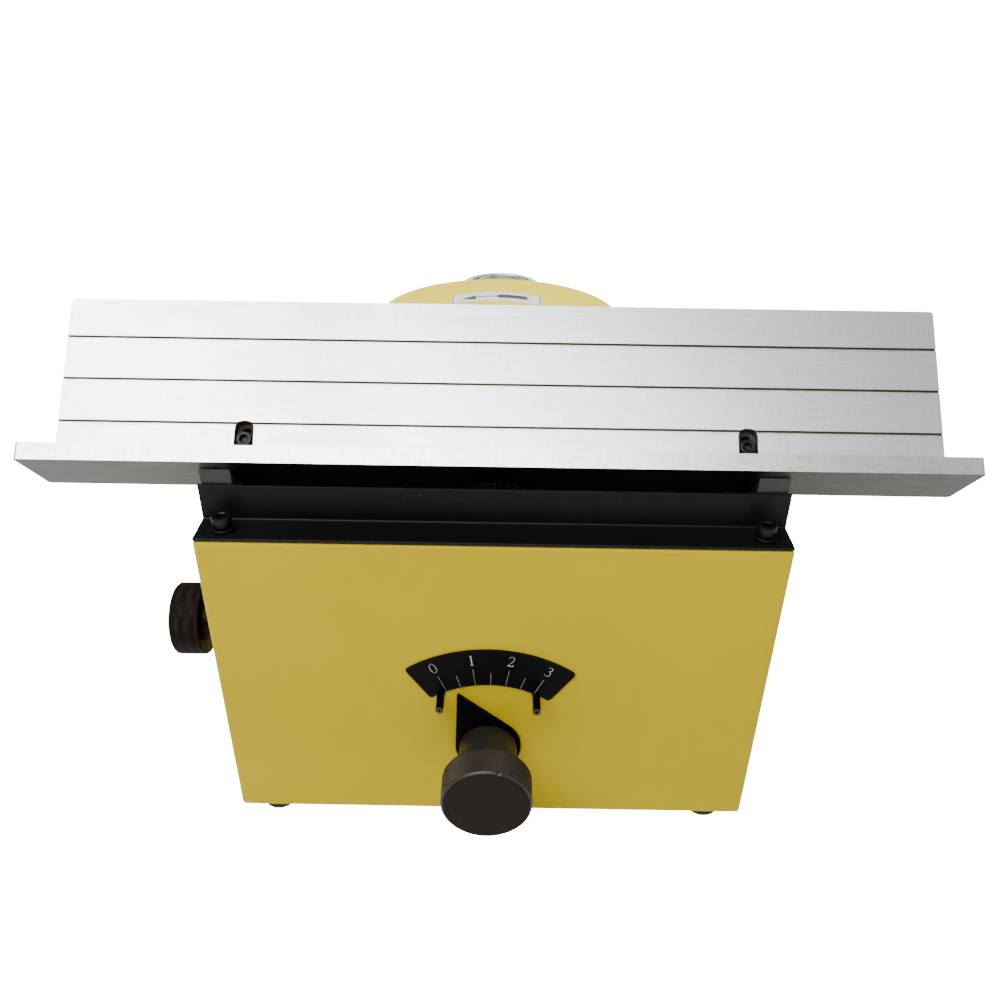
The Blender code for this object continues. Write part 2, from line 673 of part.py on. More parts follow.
def stop_pins():
    for side, centre in zip(("left", "right"), pin_places()):
        tip = centre + FORWARD * PIN_REACH
        profile = [
            (0, 0), (PIN_RADIUS - EDGE, 0), (PIN_RADIUS, -EDGE),
            (PIN_RADIUS, -PIN_REACH - 0.006), (0, -PIN_REACH - 0.006)]
        turned(f"stop_pin_{side}", profile, tip, OXIDE, FORWARD, 20)


def pointer():
    """A flat teardrop: the hub's circle and the two tangents to the tip."""
    tip_round = 0.0008
    reach = POINTER_TIP - tip_round
    tangent = math.acos((POINTER_HUB - tip_round) / reach)
    outline = arc((0, 0), POINTER_HUB, tangent, 2 * math.pi - tangent, 28)
    outline += arc((0, reach), tip_round, -tangent, tangent, 4)
    plate = panel_outline("pointer", outline, POINTER_THICKNESS, OXIDE, POINTER_LIFT)
    turn = Matrix.Rotation(POINTER_REST, 3, "Y")
    plate.rotation_euler = (turn @ plate.rotation_euler.to_matrix()).to_euler()
    drill(plate, "pointer", DIAL_AXIS + FORWARD * 0.01, DIAL_AXIS - FORWARD * 0.01, DIAL_SHAFT + RUN)
    return plate


def dial():
    lift = POINTER_LIFT + POINTER_THICKNESS + GAP
    back_rim = KNOB_REACH - KNOB_HEAD
    soft = 0.0012
    profile = [
        (0, KNOB_REACH), (KNOB_RADIUS - soft, KNOB_REACH),
        (KNOB_RADIUS - soft * 0.3, KNOB_REACH - soft * 0.3), (KNOB_RADIUS, KNOB_REACH - soft),
        (KNOB_RADIUS, back_rim + EDGE), (KNOB_RADIUS - EDGE, back_rim),
        (NECK_RADIUS, back_rim), (NECK_RADIUS, lift + EDGE), (NECK_RADIUS - EDGE, lift), (0, lift)]
    knob = turned("depth_knob", profile, DIAL_AXIS, BROWNED, FORWARD, 36)
    shaft_front = DIAL_AXIS + FORWARD * DIAL_SHAFT_FRONT
    drill(knob, "knob_bore", DIAL_AXIS, shaft_front + FORWARD * GAP, DIAL_SHAFT + RUN)
    disc = CRANK_DISC_BACK
    profile = [
        (0, DIAL_SHAFT_FRONT), (DIAL_SHAFT, DIAL_SHAFT_FRONT), (DIAL_SHAFT, -disc), (0.011, -disc),
        (0.011, -disc - 0.004), (0, -disc - 0.004)]
    shaft = turned("eccentric_shaft", profile, DIAL_AXIS, BARE, FORWARD, 20)
    mid = (READING_FULL + READING_ZERO) / 2
    turn = Matrix.Rotation(POINTER_REST - mid, 3, "Y")
    crank = DIAL_AXIS + turn @ Vector((-CRANK_THROW, 0, 0))
    pin = rod("add_crank_pin", crank - FORWARD * disc, crank - FORWARD * CRANK_PIN_END, CRANK_PIN, None, 16)
    boolean(shaft, pin, "UNION")
    bush_profile = [
        (DIAL_SHAFT + RUN, -GAP), (DIAL_SHAFT + 0.004, -GAP), (DIAL_SHAFT + 0.004, -SHEET - GAP),
        (0.016, -SHEET - GAP), (0.016, -SHEET - 0.004), (0.011, -SHEET - 0.004), (0.011, -disc + GAP),
        (DIAL_SHAFT + RUN, -disc + GAP)]
    turned("dial_bush", bush_profile, DIAL_AXIS, BRASS, FORWARD, 20, closed=True)
    pivot("dial_axis", DIAL_AXIS, [knob, shaft, pointer()])
    return crank


# ---- Spindle unit ---------------------------------------------------------------------------------------
def spindle_carriage(crank):
    """A casting that slides on two rods and holds the spindle's bearings, slotted for the crank pin."""
    low = -CARRIAGE_TOP - CARRIAGE_HEIGHT
    front, back = CARRIAGE_WING
    carriage = box("spindle_carriage", in_box(-CARRIAGE_HALF, front, low),
                   in_box(CARRIAGE_HALF, back, -CARRIAGE_TOP), CASTING, 0)
    top = at(SPINDLE_XY, -CARRIAGE_TOP)
    tube = rod("add_carriage_tube", at(SPINDLE_XY, low), top, CARRIAGE_TUBE, None, 32)
    boolean(carriage, tube, "UNION")
    tail = box("add_carriage_tail", in_box(-CARRIAGE_TAIL, front, -DIAL_DROP - 0.016),
               in_box(CARRIAGE_TAIL, front + 0.008, low + 0.001), None)
    boolean(carriage, tail, "UNION")
    bore = BEARING_RADIUS - 0.004
    drill(carriage, "carriage_bore", at(SPINDLE_XY, low - 0.01), at(SPINDLE_XY, 0.01), bore, 28)
    seat = BEARING_HEIGHT + GAP
    seat_radius = BEARING_RADIUS + RUN
    drill(carriage, "seat_top", at(SPINDLE_XY, -CARRIAGE_TOP - seat), at(SPINDLE_XY, 0.01), seat_radius, 28)
    drill(carriage, "seat_low", at(SPINDLE_XY, low - 0.01), at(SPINDLE_XY, low + seat), seat_radius, 28)
    for side, sign in (("left", -1), ("right", 1)):
        foot = in_box(sign * ROD_OFFSET, (front + back) / 2, low - 0.01)
        drill(carriage, f"rod_{side}", foot, foot + UP * (CARRIAGE_HEIGHT + 0.03), ROD_RADIUS + RUN, 20)
    width = 2 * (CRANK_PIN + CRANK_THROW + GAP)
    height = 2 * (CRANK_PIN + GAP)
    half = Vector((width / 2, 0.02, height / 2))
    middle = Vector((DIAL_AXIS.x, FRONT + front, crank.z))
    boolean(carriage, box("cut_crank_slot", middle - half, middle + half, None))
    return carriage


def guide_rods():
    middle = sum(CARRIAGE_WING) / 2
    for side, sign in (("left", -1), ("right", 1)):
        low = in_box(sign * ROD_OFFSET, middle, BASE_THICKNESS + GAP - BOX_HEIGHT)
        rod(f"guide_rod_{side}", low, in_box(sign * ROD_OFFSET, middle, -SHEET - GAP), ROD_RADIUS, BARE, 20)


def bearing(name, low):
    """A shielded ball bearing as one ring with a stepped face."""
    bore, outer, shield = SPINDLE_RADIUS + RUN, BEARING_RADIUS, 0.0005
    mid_in, mid_out = bore + 0.003, outer - 0.003
    high = low + BEARING_HEIGHT
    profile = [
        (bore, high), (mid_in, high), (mid_in, high - shield), (mid_out, high - shield), (mid_out, high),
        (outer, high), (outer, low), (mid_out, low), (mid_out, low + shield), (mid_in, low + shield),
        (mid_in, low), (bore, low)]
    return turned(name, profile, at(SPINDLE_XY, 0), BARE, steps=20, closed=True)


def spindle():
    """Shaft, cutter head, inserts, clamping screw and pulley, all turning on the spindle's axis."""
    centre = at(SPINDLE_XY, 0)
    nose = CUTTER_BASE - GAP
    foot = PULLEY_TOP + PULLEY_LAND + 2 * PULLEY_FLANGE
    profile = [
        (0, nose), (SPINDLE_NOSE, nose), (SPINDLE_NOSE, GAP - CARRIAGE_TOP),
        (SPINDLE_RADIUS, GAP - CARRIAGE_TOP), (SPINDLE_RADIUS, -foot), (0, -foot)]
    shaft = turned("spindle_shaft", profile, centre, BARE, steps=24)
    bore = M8[2] / 2 + SHANK_CLEARANCE
    drill(shaft, "spindle_thread", centre - UP * 0.022, centre + UP * 0.02, bore, 20)
    face = APEX_HEIGHT + REST_RISE - INSERT_RISE
    head_profile = [
        (bore, face - M8[1] - 0.001), (M8[0] / 2 + GAP, face - M8[1] - 0.001), (M8[0] / 2 + GAP, face),
        (CUTTER_RADIUS - 0.001, face), (CUTTER_RADIUS, face - 0.001), (CUTTER_RADIUS, CUTTER_BASE + EDGE),
        (CUTTER_RADIUS - EDGE, CUTTER_BASE), (bore, CUTTER_BASE)]
    head = turned("cutter_head", head_profile, centre, BARE, steps=32, closed=True)
    inserts = []
    for index in range(INSERT_COUNT):
        turn = Matrix.Rotation(2 * math.pi * index / INSERT_COUNT + math.pi / 5, 3, "Z")
        thick, wide, tall = INSERT_SIZE
        middle = centre + turn @ Vector((CUTTER_RADIUS - wide / 2, 0, face + INSERT_RISE - tall / 2))
        insert = box(f"insert_{index + 1}", (-wide / 2, -thick / 2, -tall / 2),
                     (wide / 2, thick / 2, tall / 2), CARBIDE, 0.0002)
        insert.location = middle
        insert.rotation_euler = turn.to_euler()
        room = Vector((wide / 2 + GAP, thick + GAP, tall / 2 + GAP))
        pocket = box(f"cut_pocket_{index + 1}", -room, room + Vector((0.01, 0, 0.01)), None)
        pocket.location = middle + turn @ Vector((0.005, thick / 2, 0.005))
        pocket.rotation_euler = turn.to_euler()
        boolean(head, pocket)
        inserts.append(insert)
    bolt = socket_screw("cutter_screw", M8, centre + UP * (face - M8[1] - 0.001 + GAP), 0.024, OXIDE)
    pulley = belt_pulley("spindle_pulley", SPINDLE_PULLEY, SPINDLE_RADIUS, SPINDLE_XY, 0.0015)
    return [shaft, head, bolt, pulley, *inserts]


def belt_pulley(name, land, bore, xy, extra):
    """A flanged flat-belt pulley; the extra land lets the belt stay put while the spindle rises."""
    high = -PULLEY_TOP
    low = high - PULLEY_LAND - 2 * PULLEY_FLANGE - extra
    lip = land + PULLEY_LIP
    profile = [
        (bore + RUN, high), (lip, high), (lip, high - PULLEY_FLANGE), (land, high - PULLEY_FLANGE),
        (land, low + PULLEY_FLANGE), (lip, low + PULLEY_FLANGE), (lip, low), (bore + RUN, low)]
    return turned(name, profile, at(xy, 0), ALUMINIUM, steps=28, closed=True)


# ---- Motor, belt and curve cutter -----------------------------------------------------------------------
def belt_outline(small, large, distance):
    """The outline round two pulleys on the Y axis, the small one at the origin and the large one behind."""
    lean = math.asin((large - small) / distance)
    outline = arc((0, distance), large, -math.pi / 2 - lean, math.pi / 2 + lean, 16)
    outline += arc((0, 0), small, math.pi / 2 + lean, 1.5 * math.pi - lean, 12)
    return outline


def drive_belt():
    distance = TABLE_BACK - APEX_BACK
    inner = belt_outline(SPINDLE_PULLEY + GAP, MOTOR_PULLEY + GAP, distance)
    outer = belt_outline(SPINDLE_PULLEY + GAP + BELT_THICKNESS, MOTOR_PULLEY + GAP + BELT_THICKNESS, distance)
    middle = at(SPINDLE_XY, -BELT_TOP - BELT_WIDTH / 2)
    outline_solid("drive_belt", [outer, inner], BELT_WIDTH, RUBBER, middle)


def motor():
    centre = at(TABLE_XY, 0)
    low = MOTOR_TOP + MOTOR_LENGTH
    cap = MOTOR_RADIUS + 0.002
    clear = MOTOR_SHAFT + 0.0003
    bore, seam = 0.031, -MOTOR_TOP - MOTOR_CAP - GAP
    profile = [
        (bore, seam), (MOTOR_RADIUS, seam), (MOTOR_RADIUS, MOTOR_CAP - low), (cap, MOTOR_CAP - low),
        (cap, EDGE - low), (cap - EDGE, -low), (clear, -low), (clear, MOTOR_CAP - low),
        (bore, MOTOR_CAP - low)]
    turned("motor_housing", profile, centre, CASTING, steps=28, closed=True)
    ring("motor_end_cap", clear, cap, -MOTOR_TOP - MOTOR_CAP, -MOTOR_TOP, centre, CASTING, edge=0.003)
    shelf = low + GAP
    half, leg = STAND_HALF, TOP - BASE_TOP - GAP
    outline = [
        (-half, -leg), (-half, -shelf), (half, -shelf), (half, -leg),
        (half - STAND_SHEET, -leg), (half - STAND_SHEET, -shelf - STAND_SHEET),
        (STAND_SHEET - half, -shelf - STAND_SHEET), (STAND_SHEET - half, -leg)]
    upright = Matrix(((1, 0, 0), (0, 0, -1), (0, 1, 0)))
    stand = outline_solid("motor_stand", [outline], 2 * cap, BLACK, centre, upright)
    drill(stand, "stand_shaft", at(TABLE_XY, -shelf - 0.01), at(TABLE_XY, 0.01 - shelf), MOTOR_SHAFT + 0.008)
    bevel(stand, EDGE)


def motor_rotor():
    """Motor shaft with its rotor, belt pulley and the curve cutter with its guide bearing."""
    centre = at(TABLE_XY, 0)
    low = MOTOR_TOP + MOTOR_LENGTH
    foot = PULLEY_TOP + PULLEY_LAND + 2 * PULLEY_FLANGE
    guide_radius, guide_height = CURVE_BEARING
    guide_top = TABLE_RISE - GAP
    guide_low = guide_top - guide_height
    cutter_top = guide_low - GAP
    cutter_low = cutter_top - CURVE_CUTTER_HEIGHT
    core, core_end = 0.0305, MOTOR_CAP + 0.006
    profile = [
        (0, guide_top), (ARBOR_RADIUS, guide_top), (ARBOR_RADIUS, cutter_low - GAP),
        (MOTOR_SHAFT, cutter_low - GAP), (MOTOR_SHAFT, -MOTOR_TOP - core_end), (core, -MOTOR_TOP - core_end),
        (core, core_end - low), (MOTOR_SHAFT, core_end - low), (MOTOR_SHAFT, -foot), (0, -foot)]
    shaft = turned("motor_rotor", profile, centre, BARE, steps=20)
    pulley = belt_pulley("motor_pulley", MOTOR_PULLEY, MOTOR_SHAFT, TABLE_XY, 0)
    bore = ARBOR_RADIUS + RUN
    taper = CURVE_CUTTER_RADIUS - guide_radius
    profile = [
        (bore, cutter_top), (guide_radius, cutter_top), (CURVE_CUTTER_RADIUS, cutter_top - taper),
        (CURVE_CUTTER_RADIUS, cutter_low + EDGE), (CURVE_CUTTER_RADIUS - EDGE, cutter_low),
        (bore, cutter_low)]
    cutter = turned("curve_cutter", profile, centre, BARE, steps=24, closed=True)
    for index in range(3):
        turn = Matrix.Rotation(2 * math.pi * index / 3, 3, "Z")
        reach = Vector((0.010, 0.003, 0.020))
        flute = box(f"cut_flute_{index}", -reach, reach, None)
        flute.location = centre + turn @ Vector((guide_radius + reach.x, 0, (cutter_top + cutter_low) / 2))
        flute.rotation_euler = turn.to_euler()
        boolean(cutter, flute)
    guide = ring("guide_bearing", bore, guide_radius, guide_low, guide_top, centre, ALUMINIUM, steps=20)
    pivot("motor_axis", centre, [shaft, pulley, cutter, guide])


# ---- Curve table ----------------------------------------------------------------------------------------
def curve_table():
    centre = at(TABLE_XY, 0)
    low = TABLE_RISE - TABLE_THICKNESS
    soft = 0.0010
    profile = [
        (TABLE_HOLE, TABLE_RISE), (TABLE_RADIUS - soft, TABLE_RISE), (TABLE_RADIUS, TABLE_RISE - soft),
        (TABLE_RADIUS, low + EDGE), (TABLE_RADIUS - EDGE, low), (TABLE_HOLE, low)]
    table = turned("curve_table", profile, centre, YELLOW, steps=56, closed=True)
    flange_top = low - GAP
    flange_low = flange_top - 0.004
    profile = [
        (COLUMN_INNER, flange_top), (COLLAR_OUTER, flange_top), (COLLAR_OUTER, flange_low),
        (COLUMN_OUTER, flange_low), (COLUMN_OUTER, -COLUMN_FOOT), (COLUMN_INNER, -COLUMN_FOOT)]
    carrier = turned("table_carrier", profile, centre, CASTING, steps=28, closed=True)
    arm_top = ARM_BOTTOM + ARM_THICKNESS
    wall = (COLUMN_INNER + COLUMN_OUTER) / 2
    arm = box("add_arm", Vector((BOX_X - ARM_HALF, TABLE_XY.y + wall, TOP + ARM_BOTTOM)),
              Vector((BOX_X + ARM_HALF, WHEEL_XY.y, TOP + arm_top)), None)
    boolean(carrier, arm, "UNION")
    boss = rod("add_arm_boss", at(WHEEL_XY, ARM_BOTTOM), at(WHEEL_XY, arm_top), ARM_HALF, None, 24)
    boolean(carrier, boss, "UNION")
    drill(carrier, "arm_bore", at(WHEEL_XY, 0), at(WHEEL_XY, TABLE_RISE), LIFT_SCREW + RUN, 24)
    collar = COLLAR_OUTER - 0.004
    profile = [
        (COLUMN_OUTER + RUN, COLLAR_HEIGHT), (collar, COLLAR_HEIGHT), (collar, 0.004 + GAP),
        (COLLAR_OUTER + 0.004, 0.004 + GAP), (COLLAR_OUTER + 0.004, GAP), (COLUMN_OUTER + RUN, GAP)]
    turned("column_collar", profile, centre, CASTING, steps=28, closed=True)
    return [table, carrier]


def lift_wheel():
    """Handwheel and screw that raise the table, with the nut they turn in."""
    centre = at(WHEEL_XY, 0)
    seat = ARM_BOTTOM + ARM_THICKNESS + GAP
    rim_low = WHEEL_TOP - WHEEL_RIM
    soft = 0.0015
    dish = WHEEL_RADIUS - 0.005
    hub = 0.009
    profile = [
        (0, WHEEL_TOP - 0.002), (hub, WHEEL_TOP - 0.002), (hub, rim_low + 0.003), (dish, rim_low + 0.003),
        (dish, WHEEL_TOP - EDGE), (dish + EDGE, WHEEL_TOP), (WHEEL_RADIUS - soft, WHEEL_TOP),
        (WHEEL_RADIUS - soft * 0.3, WHEEL_TOP - soft * 0.3), (WHEEL_RADIUS, WHEEL_TOP - soft),
        (WHEEL_RADIUS, rim_low + EDGE), (WHEEL_RADIUS - EDGE, rim_low), (hub, rim_low), (hub, seat),
        (0, seat)]
    wheel = turned("lift_handwheel", profile, centre, ALUMINIUM, steps=36)
    bite = rim_low + 0.002
    drill(wheel, "wheel_bore", centre, centre + UP * (bite + GAP), LIFT_SCREW + RUN, 24)
    collar, collar_top = 0.009, ARM_BOTTOM - GAP
    profile = [
        (0, bite), (LIFT_SCREW, bite), (LIFT_SCREW, collar_top), (collar, collar_top),
        (collar, collar_top - 0.004), (LIFT_SCREW, collar_top - 0.004), (LIFT_SCREW, -0.028), (0, -0.028)]
    screw = turned("lift_screw", profile, centre, BARE, steps=24)
    profile = [
        (LIFT_SCREW + RUN, 0.006), (0.013, 0.006), (0.013, GAP), (LIFT_NUT, GAP), (LIFT_NUT, -0.010),
        (LIFT_SCREW + RUN, -0.010)]
    turned("lift_nut", profile, centre, BRASS, steps=20, closed=True)
    pivot("lift_axis", centre, [wheel, screw])


# ---- Lock -----------------------------------------------------------------------------------------------
def lock():
    """Side knob whose screw pushes a brass pad against the carriage."""
    wall = in_box(-BOX_WIDTH / 2, LOCK_BACK, -LOCK_DROP)
    left = -RIGHT
    soft = 0.0012
    head_low = LOCK_REACH - LOCK_KNOB_HEAD
    profile = [
        (0, LOCK_REACH), (LOCK_KNOB_RADIUS - soft, LOCK_REACH),
        (LOCK_KNOB_RADIUS - soft * 0.3, LOCK_REACH - soft * 0.3), (LOCK_KNOB_RADIUS, LOCK_REACH - soft),
        (LOCK_KNOB_RADIUS, head_low + EDGE), (LOCK_KNOB_RADIUS - EDGE, head_low), (LOCK_NECK, head_low),
        (LOCK_NECK, 0.004), (0, 0.004)]
    knob = turned("lock_knob", profile, wall, BROWNED, left, 32)
    bite = head_low + 0.008
    drill(knob, "lock_bore", wall, wall + left * (bite + GAP), LOCK_SCREW + RUN, 24)
    ear = BOX_X - CARRIAGE_HALF
    pad_face = Vector((ear - GAP, wall.y, wall.z))
    pad_back = pad_face + left * LOCK_PAD_LENGTH
    screw = rod("lock_screw", wall + left * bite, pad_back + left * GAP, LOCK_SCREW, BARE, 24)
    pad = rod("lock_pad", pad_back, pad_face, LOCK_PAD, BRASS, 24)
    inside = wall + RIGHT * (SHEET + GAP)
    ring("lock_nut", LOCK_SCREW + RUN, 0.012, 0, 0.012, inside, BRASS, RIGHT, steps=24)
    pivot("lock_axis", wall, [knob, screw])
    pivot("pad_slide", pad_face, [pad])


# ---- Assembly -------------------------------------------------------------------------------------------
def build():
    housing_shell()
    base_and_feet()
    rear_panel()
    mains_fittings()
    guides()
    guard_bracket()
    scale_plate()
    stop_pins()
    crank = dial()
    guide_rods()
    carriage = spindle_carriage(crank)
    low_seat = -CARRIAGE_TOP - CARRIAGE_HEIGHT + GAP
    bearings = [bearing("bearing_upper", -CARRIAGE_TOP - BEARING_HEIGHT), bearing("bearing_lower", low_seat)]
    pivot("spindle_axis", at(SPINDLE_XY, 0), spindle())
    pivot("carriage_slide", at(SPINDLE_XY, -CARRIAGE_TOP), [carriage, *bearings])
    drive_belt()
    motor()
    motor_rotor()
    pivot("table_slide", at(TABLE_XY, 0), curve_table())
    lift_wheel()
    lock()
    fence = [bpy.data.objects["fence_plate"]]
    pivot("fence_slide", APEX, fence)


build()
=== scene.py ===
# %% [markdown]
# # A bench chamfering machine
# A folded yellow box carries two ground steel plates that form a V. A bar laid in the V slides over a
# cutter just under its apex, and a dial on the front raises that cutter. Behind the V stands a round
# table with its own cutter for curved work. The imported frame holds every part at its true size, so this
# lesson only has to give each part its final surface: rounded edges, knurls, threads, print and finish.

# %% Load the frame
import math

import bmesh
import bpy
from mathutils import Matrix, Vector


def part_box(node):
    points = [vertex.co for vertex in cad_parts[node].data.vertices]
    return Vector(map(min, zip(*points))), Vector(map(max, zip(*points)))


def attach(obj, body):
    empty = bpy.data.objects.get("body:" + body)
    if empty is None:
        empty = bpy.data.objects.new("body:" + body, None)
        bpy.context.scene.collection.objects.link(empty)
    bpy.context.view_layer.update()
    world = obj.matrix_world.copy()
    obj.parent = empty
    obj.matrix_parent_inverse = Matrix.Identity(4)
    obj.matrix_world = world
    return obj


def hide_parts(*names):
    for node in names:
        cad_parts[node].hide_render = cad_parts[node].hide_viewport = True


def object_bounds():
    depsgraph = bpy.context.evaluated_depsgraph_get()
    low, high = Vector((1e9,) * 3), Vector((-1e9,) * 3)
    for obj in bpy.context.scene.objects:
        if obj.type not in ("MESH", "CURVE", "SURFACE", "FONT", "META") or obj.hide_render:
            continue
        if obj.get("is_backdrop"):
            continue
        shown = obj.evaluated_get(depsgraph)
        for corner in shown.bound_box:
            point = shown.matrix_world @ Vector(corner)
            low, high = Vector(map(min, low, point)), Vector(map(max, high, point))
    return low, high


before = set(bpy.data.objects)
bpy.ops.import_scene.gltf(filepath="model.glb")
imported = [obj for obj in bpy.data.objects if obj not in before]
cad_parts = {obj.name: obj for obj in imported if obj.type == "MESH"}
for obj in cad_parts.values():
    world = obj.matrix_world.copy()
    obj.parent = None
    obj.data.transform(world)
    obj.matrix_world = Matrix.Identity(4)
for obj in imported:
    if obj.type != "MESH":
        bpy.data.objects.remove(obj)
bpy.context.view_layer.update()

# %% [markdown]
# ## Where things are
# Positions are read from the frame: the front panel, the box's top, and the axes of the turning parts.
# The few other distances are the machine's own dimensions, measured from the panel and the top.

# %% Take the main positions from the frame
UP, RIGHT, FORWARD = Vector((0, 0, 1)), Vector((1, 0, 0)), Vector((0, -1, 0))
shell_low, shell_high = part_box("housing_shell")
FRONT, REAR, TOP = shell_low.y, shell_high.y, shell_high.z
BOX_X = (shell_low.x + shell_high.x) / 2
BOX_HALF = (shell_high.x - shell_low.x) / 2
SHEET = 0.002
GAP = 0.0003
APEX_BACK, APEX_RISE = 0.0513, 0.0141
APEX = Vector((0, FRONT + APEX_BACK, TOP + APEX_RISE))


def middle(node):
    """The centre of a CAD node's box."""
    low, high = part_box(node)
    return (low + high) / 2


knob_axis, table_axis = middle("depth_knob"), middle("curve_table")
wheel_axis, cutter_axis = middle("lift_handwheel"), middle("cutter_head")
lock_axis = middle("lock_knob")
DIAL = Vector((knob_axis.x, FRONT, knob_axis.z))
print("dial axis, mm:", [round(value * 1000, 1) for value in DIAL])

# %% [markdown]
# ## Writing shaders as sums
# A shader is a graph of nodes, and a graph of sums is hard to read as node calls. `Wire` wraps one
# socket and turns +, -, * and < into Math nodes. `Finish` owns one material. Its `node` method makes any
# node: settings first, because they can change the sockets, then the values or links.


# %% The wire and the finish
class Wire:
    """The output of a node, usable in sums."""

    def __init__(self, finish, socket):
        self.finish, self.socket = finish, socket

    def math(self, operation, *values):
        return self.finish.node("ShaderNodeMath", {"operation": operation}, dict(enumerate(values)))

    def __add__(self, other):
        return self.math("ADD", self, other)

    def __radd__(self, other):
        return self.math("ADD", other, self)

    def __sub__(self, other):
        return self.math("SUBTRACT", self, other)

    def __rsub__(self, other):
        return self.math("SUBTRACT", other, self)

    def __mul__(self, other):
        return self.math("MULTIPLY", self, other)

    def __rmul__(self, other):
        return self.math("MULTIPLY", other, self)

    def __lt__(self, other):
        return self.math("LESS_THAN", self, other)

    def __gt__(self, other):
        return self.math("GREATER_THAN", self, other)

    def ramp(self, low, high):
        """0 below low, 1 above high and a smooth step between."""
        return self.finish.node("ShaderNodeMapRange", {"interpolation_type": "SMOOTHSTEP"},
                                {"Value": self, "From Min": low, "From Max": high})


class Finish:
    """One material, built from a Principled shader."""

    def __init__(self, name, colour, roughness, metallic=0.0, **constants):
        self.material = bpy.data.materials.new(name)
        self.material.use_nodes = True
        self.tree = self.material.node_tree
        self.shader = self.tree.nodes["Principled BSDF"]
        self.set("Base Color", colour)
        self.set("Roughness", roughness)
        self.set("Metallic", metallic)
        for socket, value in constants.items():
            self.set(socket.replace("_", " ").title().replace("Ior", "IOR"), value)
        self.material.diffuse_color = (*colour[:3], 1)

    def join(self, value, socket):
        if isinstance(value, Wire):
            self.tree.links.new(value.socket, socket)
        else:
            socket.default_value = value

    def set(self, socket, value):
        self.join(value, self.shader.inputs[socket])

    def node(self, kind, settings=(), inputs=(), output=0):
        made = self.tree.nodes.new(kind)
        for key, value in dict(settings).items():
            setattr(made, key, value)
        for key, value in dict(inputs).items():
            self.join(value, made.inputs[key])
        return Wire(self, made.outputs[output])

    def place(self, stretch=(1, 1, 1)):
        """The point on the part at rest, in metres, stretched on each axis."""
        point = self.node("ShaderNodeTexCoord", output="Object")
        return self.node("ShaderNodeVectorMath", {"operation": "MULTIPLY"}, {0: point, 1: stretch})

    def axes(self):
        """The same point as three wires."""
        point = self.place()
        return [self.node("ShaderNodeSeparateXYZ", inputs={0: point}, output=index) for index in range(3)]

    def noise(self, scale, detail=2.0, stretch=(1, 1, 1)):
        return self.node("ShaderNodeTexNoise", inputs={
            "Vector": self.place(stretch), "Scale": scale, "Detail": detail})

    def mix(self, mask, first, second):
        """The first colour where the mask is 0 and the second where it is 1."""
        return self.node("ShaderNodeMix", {"data_type": "RGBA"}, {0: mask, 6: first, 7: second}, 2)

    def bump(self, height, distance, strength=1.0):
        normal = self.node("ShaderNodeBump", inputs={
            "Height": height, "Distance": distance, "Strength": strength})
        self.set("Normal", normal)


def tint(red, green, blue):
    """A colour from display values of 0 to 255."""
    return (*[(value / 255) ** 2.2 for value in (red, green, blue)], 1.0)


# %% [markdown]
# ## Paint
# The box is a semi-gloss enamel on steel sheet. Up close it has the slight waviness of sprayed
# paint, a few dust specks and a little variation in colour. The bracket, the dial scale and the base are
# black, from a satin textured coat to a flat lacquer.


# %% Yellow enamel
def enamel(name, colour, shade, roughness, speck, peel, shine):
    """Sprayed paint: slow drift in colour, dust specks and orange-peel bump."""
    paint = Finish(name, colour, roughness, specular_ior_level=shine)
    drift = paint.noise(9, 3).ramp(0.35, 0.65)
    body = paint.mix(drift, colour, shade)
    grain = paint.noise(1500, 2).ramp(0.3, 0.7)
    dust = paint.noise(420, 1).ramp(0.815, 0.835)
    body = paint.mix(grain * 0.10, body, shade)
    paint.set("Base Color", paint.mix(dust * 0.6, body, speck))
    paint.set("Roughness", roughness + grain * 0.06 + dust * 0.2)
    paint.bump(paint.noise(900, 2) + paint.noise(260, 1) * 0.7, peel)
    return paint


yellow = enamel("yellow_enamel", tint(170, 149, 0), tint(165, 144, 0), 0.42, tint(92, 76, 6), 0.00003, 0.10)
# The table's enamel is the box's yellow drawn much lighter: a painted highlight for the light its upward face
# catches.
lit_table_yellow = enamel(
    "table_enamel_painted_highlight", tint(250, 226, 0), tint(244, 220, 0), 0.40, tint(130, 110, 10), 0.00002, 0.05)
satin_black = enamel("satin_black", tint(17, 17, 18), tint(12, 12, 13), 0.42, tint(60, 60, 60), 0.00005, 0.16)
lacquer = enamel("scale_lacquer", tint(15, 14, 14), tint(11, 10, 10), 0.40, tint(28, 28, 28), 0.00001, 0.05)
pointer_black = enamel("pointer_black", tint(11, 11, 11), tint(8, 8, 8), 0.6, tint(26, 26, 26), 0.00001, 0.04)
paints = (yellow, lit_table_yellow, satin_black, lacquer, pointer_black)
print("paints:", [paint.material.name for paint in paints])

# %% [markdown]
# ## Ground and turned metal
# Grinding leaves fine parallel scratches. A noise texture squeezed on one axis and stretched on the
# other makes them, and feeding it to roughness and bump lets the lights do the rest. The fence has three
# cut grooves, a pale burr beside each, and a washer's scuff beside its left screw slot.


# %% A general brushed metal
def metal(name, colour, shade, roughness, stretch, scratch=0.00001, metallic=1.0, patch=7):
    """Bare metal with scratches stretched on one axis and cloudy variation."""
    made = Finish(name, colour, roughness, metallic)
    lines = made.noise(1, 3, stretch)
    cloud = made.noise(patch, 4).ramp(0.3, 0.7)
    made.set("Base Color", made.mix(cloud * 0.5 + lines * 0.3, colour, shade))
    made.set("Roughness", roughness + (lines - 0.5) * 0.16 + cloud * 0.05)
    made.bump(lines, scratch)
    return made


SQ = math.sqrt(0.5)
GROOVES = [0.0266, 0.0512, 0.0758]
SCREW_X, SCREW_UP = 0.1364, 0.018


def absolute(wire):
    return wire.math("ABSOLUTE", wire)


